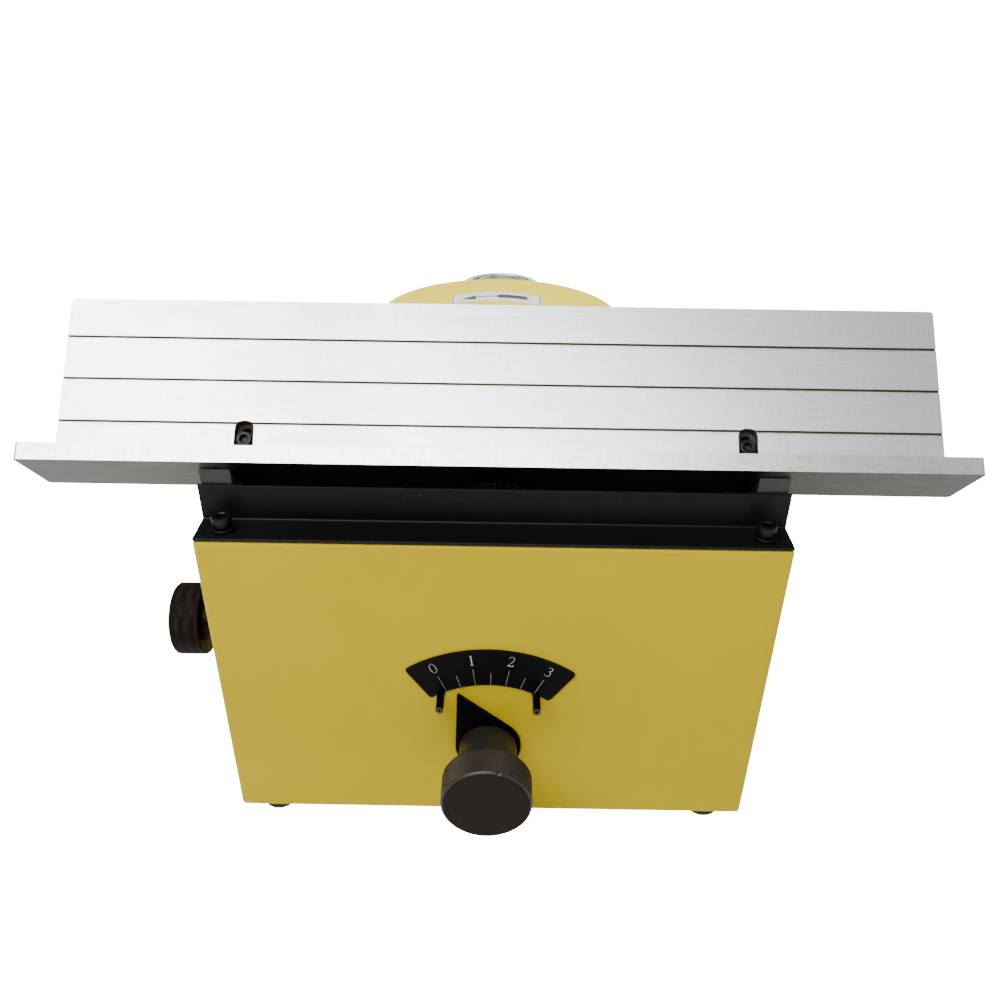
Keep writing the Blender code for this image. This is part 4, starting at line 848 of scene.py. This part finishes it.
PRINT = 0.00006
PRINT_SPOT = Vector((DIAL.x, scale_low.y - PRINT / 2, DIAL.z))


def strip(inner, outer, angle, width):
    """A thin radial tick as an outline."""
    side = Vector((math.cos(angle), -math.sin(angle))) * width / 2
    start, end = Vector(polar(centre, inner, angle)), Vector(polar(centre, outer, angle))
    return [tuple(start - side), tuple(end - side), tuple(end + side), tuple(start + side)]


ticks = [strip(SCALE_INNER + 0.0003, 0.0646 if index % 2 else 0.0674, FIRST_TICK + index * TICK_STEP, 0.00013)
         for index in range(7)]
piece("scale_ticks", plate(ticks, PRINT, PRINT_SPOT, on_panel), ink_grey, "housing")


# %% Numerals as strokes
def stroke(points, steps=6):
    """The outline of a smooth line through (x, y, width) points."""
    path = []
    for index in range(len(points) - 1):
        p0, p1 = Vector(points[max(index - 1, 0)]), Vector(points[index])
        p2, p3 = Vector(points[index + 1]), Vector(points[min(index + 2, len(points) - 1)])
        for step in range(steps):
            t = step / steps
            path.append(0.5 * (2 * p1 + (p2 - p0) * t + (2 * p0 - 5 * p1 + 4 * p2 - p3) * t ** 2
                               + (3 * p1 - p0 - 3 * p2 + p3) * t ** 3))
    path.append(Vector(points[-1]))
    left, right = [], []
    for index, point in enumerate(path):
        heading = path[min(index + 1, len(path) - 1)] - path[max(index - 1, 0)]
        side = Vector((-heading.y, heading.x)).normalized() * point.z / 2
        left.append((point.x + side.x, point.y + side.y))
        right.append((point.x - side.x, point.y - side.y))
    return left + right[::-1]


def ellipse(radius_x, radius_y, steps=36):
    return [(radius_x * math.cos(2 * math.pi * step / steps), radius_y * math.sin(2 * math.pi * step / steps))
            for step in range(steps)]


THIN, BOLD = 0.020, 0.046
NUMERALS = {
    0: [ellipse(0.27, 0.50), ellipse(0.27 - BOLD, 0.50 - THIN)],
    1: [[(-0.14, -0.5), (0.14, -0.5), (0.14, -0.47), (0.045, -0.455), (0.045, 0.5), (0.01, 0.5),
         (-0.13, 0.41), (-0.125, 0.38), (-0.04, 0.415), (-0.04, -0.455), (-0.14, -0.47)]],
    2: [stroke([(-0.22, 0.28, THIN), (-0.17, 0.42, BOLD * 0.7), (0, 0.48, THIN), (0.18, 0.40, BOLD),
                (0.20, 0.22, BOLD), (0.04, -0.10, THIN * 1.4), (-0.24, -0.44, THIN)]),
        [(-0.26, -0.5), (0.20, -0.5), (0.25, -0.30), (0.225, -0.30), (0.17, -0.42), (-0.26, -0.42)]],
    3: [stroke([(-0.20, 0.32, THIN), (-0.12, 0.44, THIN * 1.5), (0.02, 0.48, THIN), (0.16, 0.38, BOLD),
                (0.14, 0.18, BOLD), (-0.05, 0.05, THIN)]),
        stroke([(-0.05, 0.055, THIN), (0.14, -0.02, BOLD * 0.8), (0.21, -0.20, BOLD),
                (0.13, -0.40, BOLD * 0.9), (-0.03, -0.47, THIN), (-0.19, -0.42, BOLD * 0.8),
                (-0.22, -0.34, THIN)])]}
NUMERAL_HEIGHT, NUMERAL_RADIUS = 0.0066, 0.0736
for number, outlines in NUMERALS.items():
    angle = FIRST_TICK + 2 * number * TICK_STEP
    spot = polar(centre, NUMERAL_RADIUS, angle)
    across, up = math.cos(angle), math.sin(angle)
    shape = []
    for outline in outlines:
        shape.append([(spot[0] + NUMERAL_HEIGHT * (x * across + y * up),
                       spot[1] + NUMERAL_HEIGHT * (y * across - x * up)) for x, y in outline])
    for part, outline in enumerate([shape] if number == 0 else [[line] for line in shape]):
        piece(f"numeral_{number}_{part + 1}", plate(outline, PRINT, PRINT_SPOT, on_panel), ink_grey,
              "housing")

# %% [markdown]
# ## Pins, pointer and knob
# The stops are rolled spring pins, a C in section. The pointer is a plain black teardrop. The knob's rim
# has a diamond knurl, two families of fine grooves that cross, cut as geometry because its edge shows
# against the panel.

# %% Stop pins and pointer
for side, pin in zip(("left", "right"), pins):
    low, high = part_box(f"stop_pin_{side}")
    slit = math.radians(6)
    ring = arc((0, 0), PIN_RADIUS, slit, 2 * math.pi - slit, 40)
    ring += arc((0, 0), PIN_RADIUS * 0.36, 2 * math.pi - slit * 2.7, slit * 2.7, 24)
    turn = on_panel @ Matrix.Rotation(math.radians(150), 3, "Z")
    centre_y = (low.y + high.y) / 2
    pin_mesh = plate([ring], high.y - low.y, Vector((pin.x, centre_y, pin.z)), turn)
    spring_pin = piece(f"spring_pin_{side}", pin_mesh, dark_browned, "housing",
                       f"stop_pin_{side}", (), 0.0003)
    paint_faces(spring_pin, blued, lambda centre, normal: normal.y < -0.5)

low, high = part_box("pointer")
HUB, TIP, TIP_ROUND = 0.0187, 0.0412, 0.0008
tangent = math.acos((HUB - TIP_ROUND) / (TIP - TIP_ROUND))
outline = arc((0, 0), HUB, tangent, 2 * math.pi - tangent, 64)
outline += arc((0, TIP - TIP_ROUND), TIP_ROUND, -tangent, tangent, 8)
bore = arc((0, 0), 0.0063, 0, 2 * math.pi, 40)[:-1]
turn = Matrix.Rotation(math.radians(-24.4), 3, "Y") @ on_panel
pointer_spot = Vector((DIAL.x, (low.y + high.y) / 2, DIAL.z))
piece("dial_pointer", plate([outline, bore], high.y - low.y, pointer_spot, turn), pointer_black, "dial",
      "pointer", (), 0.0003)


# %% Knurled knobs
def diamond_knurl(radius, depth, teeth):
    """A radius cut by two crossing families of V grooves at 45 degrees."""
    pitch = 2 * math.pi * radius / teeth

    def at(angle, height):
        around, along = angle * radius / pitch, height / pitch
        groove = max(abs(((around + sign * along) % 1) - 0.5) for sign in (-1, 1)) * 2
        return radius - depth * groove ** 1.5

    return at


def dented(radius):
    """A rim with one small nick, a little right of its top."""
    return lambda angle, height: radius - 0.0008 * math.exp(-((angle - math.radians(75)) / 0.035) ** 2)


def knob(name, node, origin, axis, reach, head, radius, neck, neck_foot, bore, bore_depth, teeth, body,
         finish):
    """A knurled head on a plain neck, with a soft front rim and a blind bore."""
    rim, back = 0.0013, reach - head
    knurl = diamond_knurl(radius, 0.0004, teeth)
    rings = 6 * round((head - 2 * rim - 0.0008) / (2 * math.pi * radius / teeth))
    first, last = reach - rim - 0.0002, back + rim * 0.6
    grid = [(knurl, first + (last - first) * step / rings) for step in range(rings + 1)]
    edge = radius - 0.00015
    front = soften([(0, reach - 0.0002), (radius * 0.80, reach - 0.0002), (radius - rim, reach, 0.001),
                    (edge, reach - rim, 0.0009), (edge, reach - rim - 0.0001)], steps=6)
    rear = soften([(edge, back + rim * 0.6), (radius - 0.0006, back, 0.0004), (neck, back, 0.0006),
                   (neck, neck_foot, 0.0004), (bore, neck_foot, 0.0002), (bore, bore_depth), (0, bore_depth)],
                  steps=5)
    if name == "dial_knob":
        front = [(dented(r), z) if r > radius * 0.9 else (r, z) for r, z in front]
    profile = front + grid + rear
    made = piece(name, turned(profile, origin, axis, teeth * 6), finish, body, node)
    paint_faces(made, dark_browned,
                lambda centre, normal: normal.dot(axis) > 0.9 and (centre - origin).dot(axis) > back)


low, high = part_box("depth_knob")
reach = FRONT - low.y
knob("dial_knob", "depth_knob", DIAL, FORWARD, reach, 0.019, 0.0248, 0.0165, 0.0038, 0.0063, 0.0203, 112,
     "dial", browned)
low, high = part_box("lock_knob")
knob("side_knob", "lock_knob", lock_hole, -RIGHT, shell_low.x - low.x, 0.017, 0.0207, 0.013, 0.004, 0.0053,
     0.0213, 92, "lock_knob", dark_browned)

# %% [markdown]
# ## Curve table, column and handwheel
# The round table is a painted disc with a label that shows the feed direction: an arrow on a curved
# white strip. Under it a flanged tube slides in a collar, and an arm reaches back to the handwheel's
# threaded spindle.

# %% Table and its label
TABLE_RADIUS, TABLE_BORE, TABLE_BACK = 0.0745, 0.018, 0.1873
table_centre = Vector((BOX_X, FRONT + TABLE_BACK, 0))
table_low, TABLE_TOP = [corner.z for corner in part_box("curve_table")]
profile = soften([(TABLE_BORE, TABLE_TOP, 0.0006), (TABLE_RADIUS, TABLE_TOP, 0.0012),
                  (TABLE_RADIUS, table_low, 0.0006), (TABLE_BORE, table_low, 0.0004)], True, 5)
# The disc's lighter yellow is a painted highlight, not a different paint.
piece("table_disc", turned(profile, table_centre, steps=160, loop=True), lit_table_yellow, "table",
      "curve_table")

LABEL_HALF, LABEL_X = 0.0295, BOX_X - 0.0022


def label_point(share, across):
    """A point on the label: share from -1 left to 1 right, across from 0 inside to 1 outside."""
    inner = 0.2108 - 0.0090 * share ** 2
    outer = 0.2323 - 0.0105 * share ** 2
    return (LABEL_X + LABEL_HALF * share, FRONT + inner + (outer - inner) * across)


def label_strip(first, last, low_edge, high_edge, steps=20):
    shares = [first + (last - first) * step / steps for step in range(steps + 1)]
    lower = [label_point(share, low_edge(share) if callable(low_edge) else low_edge) for share in shares]
    upper = [label_point(share, high_edge(share) if callable(high_edge) else high_edge) for share in shares]
    return lower + upper[::-1]


FILM = 0.00008


def print_on_table(name, outlines, finish, layer):
    lift = TABLE_TOP + FILM * (layer + 0.5)
    piece(name, plate(outlines, FILM, Vector((0, 0, lift))), finish, "table")


print_on_table("label_film", [label_strip(-1, 1, 0, 1)], label_white, 0)
border = 0.04
print_on_table("label_border", [label_strip(-0.97, 0.97, border, 1 - border),
                                label_strip(-0.955, 0.955, border * 1.7, 1 - border * 1.7)], ink_grey, 1)
print_on_table("label_end_left", [label_strip(-0.975, -0.955, 0.1, 0.9, 2)], ink_dark, 2)
print_on_table("label_end_right", [label_strip(0.955, 0.975, 0.1, 0.9, 2)], ink_dark, 2)
arrow = [label_point(-0.77, 0.40), label_point(-0.45, 0.64), label_point(-0.47, 0.50)]
arrow += [label_point(share, 0.52) for share in (-0.3, -0.15, 0.0)]
arrow += [label_point(0.05, 0.66)] + [label_point(share, 0.68) for share in (0.2, 0.4, 0.6, 0.74)]
arrow += [label_point(0.66, 0.52), label_point(0.74, 0.34)]
arrow += [label_point(share, 0.36) for share in (0.6, 0.4, 0.2, 0.05)]
arrow += [label_point(share, 0.46) for share in (0.0, -0.15, -0.3)]
arrow += [label_point(-0.47, 0.42), label_point(-0.45, 0.22)]
print_on_table("label_arrow", [arrow], ink_dark, 1)

# %% Carrier, collar, arm
flange_top, column_foot = table_low - GAP, TOP - 0.020
carrier = soften([
    (0.020, flange_top, 0.0003), (0.034, flange_top, 0.0004), (0.034, flange_top - 0.004, 0.0008),
    (0.024, flange_top - 0.004, 0.0015), (0.024, column_foot, 0.0005), (0.020, column_foot, 0.0005)], True)
WHEEL_BACK = 0.2772
wheel_centre = Vector((BOX_X, FRONT + WHEEL_BACK, 0))
arm_low, arm_high = TOP + 0.024, TOP + 0.032
arm = block((BOX_X - 0.014, table_centre.y + 0.022, arm_low), (BOX_X + 0.014, wheel_centre.y, arm_high))
boss = hole(wheel_centre + UP * arm_low, wheel_centre + UP * arm_high, 0.014, 72)
bore = hole(wheel_centre + UP * TOP, wheel_centre + UP * (TOP + 0.058), 0.0053, 48)
piece("cast_carrier", turned(carrier, table_centre, steps=96, loop=True), casting, "table",
      "table_carrier", [bore], 0.0007, [arm, boss], 50)
collar = soften([
    (0.0243, TOP + 0.014, 0.0006), (0.030, TOP + 0.014, 0.0012), (0.030, TOP + 0.0043, 0.0015),
    (0.038, TOP + 0.0043, 0.001), (0.038, TOP + GAP, 0.0002), (0.0243, TOP + GAP, 0.0002)], True)
piece("cast_collar", turned(collar, table_centre, steps=96, loop=True), casting, "housing",
      "column_collar")
for index in range(4):
    angle = math.pi / 4 + index * math.pi / 2
    spot = table_centre + Vector((0.0342 * math.cos(angle), 0.0342 * math.sin(angle), TOP + 0.0043))
    profile = [(0, 0.0012), (hexagon(0.0010), 0.0012), (hexagon(0.0010), 0.0022), (0.0014, 0.0023),
               *soften([(0.0018, 0.0023), (0.0026, 0.0020, 0.0006), (0.0028, 0)]), (0, 0)]
    piece(f"collar_screw_{index + 1}", turned(profile, spot, steps=48), oxide, "housing")

# %% Handwheel, screw and nut
wheel_low, wheel_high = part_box("lift_handwheel")
wheel_radius = (wheel_high.x - wheel_low.x) / 2
rim_low = wheel_high.z - 0.0105
grip = ribbed(wheel_radius, 0.0006, 30)
profile = soften([
    (0, wheel_high.z - 0.002), (0.008, wheel_high.z - 0.002, 0.001), (0.009, rim_low + 0.003, 0.0015),
    (wheel_radius - 0.005, rim_low + 0.003, 0.0015), (wheel_radius - 0.005, wheel_high.z, 0.001),
    (wheel_radius - 0.0008, wheel_high.z, 0.001), (wheel_radius - 0.0003, wheel_high.z - 0.0012)], steps=5)
profile += [(grip, wheel_high.z - 0.0016), (grip, rim_low + 0.0008)]
profile += soften([(wheel_radius - 0.0006, rim_low + 0.0002), (0.009, rim_low, 0.001),
                   (0.009, wheel_low.z, 0.0003), (0.0053, wheel_low.z), (0.0053, rim_low + 0.0023),
                   (0, rim_low + 0.0023)], steps=4)
piece("dished_handwheel", turned(profile, wheel_centre, steps=240), aluminium, "handwheel",
      "lift_handwheel")


def threaded(radius, depth, pitch):
    """A radius that follows a helical thread."""
    def at(angle, height):
        phase = (height / pitch - angle / (2 * math.pi)) % 1
        return radius - depth * min(1, max(0, 1.6 - abs(phase - 0.5) * 4.4))

    return at


def threaded_rod(top, bottom, radius, pitch, plain):
    thread = threaded(radius, 0.0009, pitch)
    count = int(abs(top - bottom) / pitch * 10)
    rings = [(thread, top + (bottom - top) * step / count) for step in range(count + 1)]
    return [(0, top + plain), (radius - 0.0004, top + plain), (radius, top + plain - 0.0004),
            (radius, top + 0.0001), *rings, (radius - 0.001, bottom - 0.0004), (0, bottom - 0.0004)]


screw_low, screw_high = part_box("lift_screw")
collar_top = arm_low - GAP
screw_collar = soften([(0.005, collar_top), (0.009, collar_top, 0.0004), (0.009, collar_top - 0.004, 0.0004),
                       (0.005, collar_top - 0.004)])
profile = [(0, screw_high.z), (0.0048, screw_high.z), (0.005, screw_high.z - 0.0003), *screw_collar,
           *threaded_rod(arm_low - 0.0046, screw_low.z + 0.0005, 0.005, 0.002, 0)[3:]]
piece("lift_spindle", turned(profile, wheel_centre, steps=48), turned_steel, "handwheel",
      "lift_screw")
flats = hexagon(0.0112)
nut = [(0.0053, TOP + 0.006), (flats, TOP + 0.006), (flats, TOP + GAP), (0.009, TOP + GAP),
       (0.009, TOP - 0.010), (0.0053, TOP - 0.010)]
piece("hex_lift_nut", turned(nut, wheel_centre, steps=48, loop=True), brass, "housing", "lift_nut",
      (), 0.0004)

# %% [markdown]
# ## Parts that stay as the frame gives them
# The cutters and everything inside the box already have their true shape. They get a finish, and two
# modifiers that shade them smoothly: Weld joins the triangles and Edge Split keeps the hard corners.

# %% Finish the remaining CAD nodes
FINISH_OF = {
    "ground_steel": steel, "machined_steel": turned_steel, "grey_casting": casting, "aluminium": aluminium,
    "brass": brass, "carbide": carbide, "rubber": rubber, "black_paint": satin_black, "yellow_paint": yellow,
    "black_plastic": plastic, "browned_steel": browned, "black_oxide": oxide}
kept = [name for name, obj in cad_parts.items() if not obj.hide_render]
for name in kept:
    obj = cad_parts[name]
    was = obj.data.materials[0].name.split(".")[0]
    obj.data.materials.clear()
    dark = name in ("cutter_head", "spindle_shaft")
    obj.data.materials.append((matte_oxide if dark else FINISH_OF[was]).material)
    obj.data.shade_smooth()
    weld = obj.modifiers.new("weld", "WELD")
    weld.merge_threshold = 0.00001
    split = obj.modifiers.new("corners", "EDGE_SPLIT")
    split.split_angle = math.radians(32)
print("CAD nodes kept:", sorted(kept))

# %% [markdown]
# ## Studio
# A pale floor, a large soft light in front and above, a weak one on the right and one behind. Ground
# steel shows whatever it faces, so the large light's place decides how the fence shades from left to
# right. Camera rays alone see the floor and the surround as white paper; every other ray meets the plain
# floor and a dim sky, so the white backdrop does not light the machine and no shadow shows on it.

# %% Floor, lights and surround
bm = bmesh.new()
bmesh.ops.create_grid(bm, x_segments=8, y_segments=8, size=6)
floor = bpy.data.objects.new("studio_floor", finished(bm))
bpy.context.scene.collection.objects.link(floor)
floor.data.materials.append(floor_pale.material)
floor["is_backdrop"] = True
WHITE, PAPER = (1, 1, 1, 1), 20.0
glow = floor_pale.node("ShaderNodeEmission", inputs={"Color": WHITE, "Strength": PAPER})
seen = floor_pale.node("ShaderNodeLightPath", output="Is Camera Ray")
plain = Wire(floor_pale, floor_pale.shader.outputs[0])
shown = floor_pale.node("ShaderNodeMixShader", inputs={0: seen, 1: plain, 2: glow})
floor_pale.join(shown, floor_pale.tree.nodes["Material Output"].inputs["Surface"])


def softbox(name, place, target, size, power):
    light = bpy.data.lights.new(name, "AREA")
    light.shape, light.size, light.size_y, light.energy = "RECTANGLE", size[0], size[1], power
    obj = bpy.data.objects.new(name, light)
    bpy.context.scene.collection.objects.link(obj)
    obj.location = place
    obj.rotation_euler = (Vector(target) - Vector(place)).to_track_quat("-Z", "Y").to_euler()


softbox("fence_light", (-0.62, -0.95, 1.75), (-0.1, -0.08, 0.2), (1.96, 1.2), 74)
softbox("fill_light", (1.4, -1.2, 0.8), (0, 0, 0.1), (0.8, 0.8), 5)
softbox("back_light", (0, 2.2, 1.3), (0, 0, 0.2), (3.5, 1.6), 30)
world = bpy.data.worlds.new("studio")
world.use_nodes = True
sky, output = world.node_tree.nodes["Background"], world.node_tree.nodes["World Output"]
sky.inputs["Color"].default_value = WHITE
sky.inputs["Strength"].default_value = 0.38
paper = world.node_tree.nodes.new("ShaderNodeBackground")
paper.inputs["Strength"].default_value = PAPER
paper.inputs["Color"].default_value = WHITE
either = world.node_tree.nodes.new("ShaderNodeMixShader")
path = world.node_tree.nodes.new("ShaderNodeLightPath")
for start, end in ((path.outputs["Is Camera Ray"], either.inputs[0]), (sky.outputs[0], either.inputs[1]),
                   (paper.outputs[0], either.inputs[2]), (either.outputs[0], output.inputs["Surface"])):
    world.node_tree.links.new(start, end)
bpy.context.scene.world = world

# %% [markdown]
# ## Camera
# The machine is seen from the operator's side, a little above, with a moderately wide lens. The body of
# the camera points down at 33 degrees and the frame is shifted up slightly to hold the machine.

# %% Camera
PITCH, YAW, ROLL = math.radians(33.267), math.radians(-0.219), math.radians(-0.8355)
eye = in_box(0.00505, -0.39947, 0.24757)
forward = Vector((math.sin(YAW) * math.cos(PITCH), math.cos(YAW) * math.cos(PITCH), -math.sin(PITCH)))
level = forward.cross(UP).normalized()
above = level.cross(forward).normalized()
side = level * math.cos(ROLL) - above * math.sin(ROLL)
crown = side.cross(forward).normalized()
camera = bpy.data.objects.new("camera", bpy.data.cameras.new("camera"))
bpy.context.scene.collection.objects.link(camera)
camera.data.lens, camera.data.sensor_width, camera.data.shift_y = 33.90, 36, 0.0715
camera.data.clip_start, camera.data.clip_end = 0.01, 50
camera.matrix_world = Matrix((
    (side.x, crown.x, -forward.x, eye.x), (side.y, crown.y, -forward.y, eye.y),
    (side.z, crown.z, -forward.z, eye.z), (0, 0, 0, 1)))
bpy.context.scene.camera = camera

# %% Print the visual box
low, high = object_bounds()
print("visual box, mm:", [round(side * 1000, 1) for side in high - low])
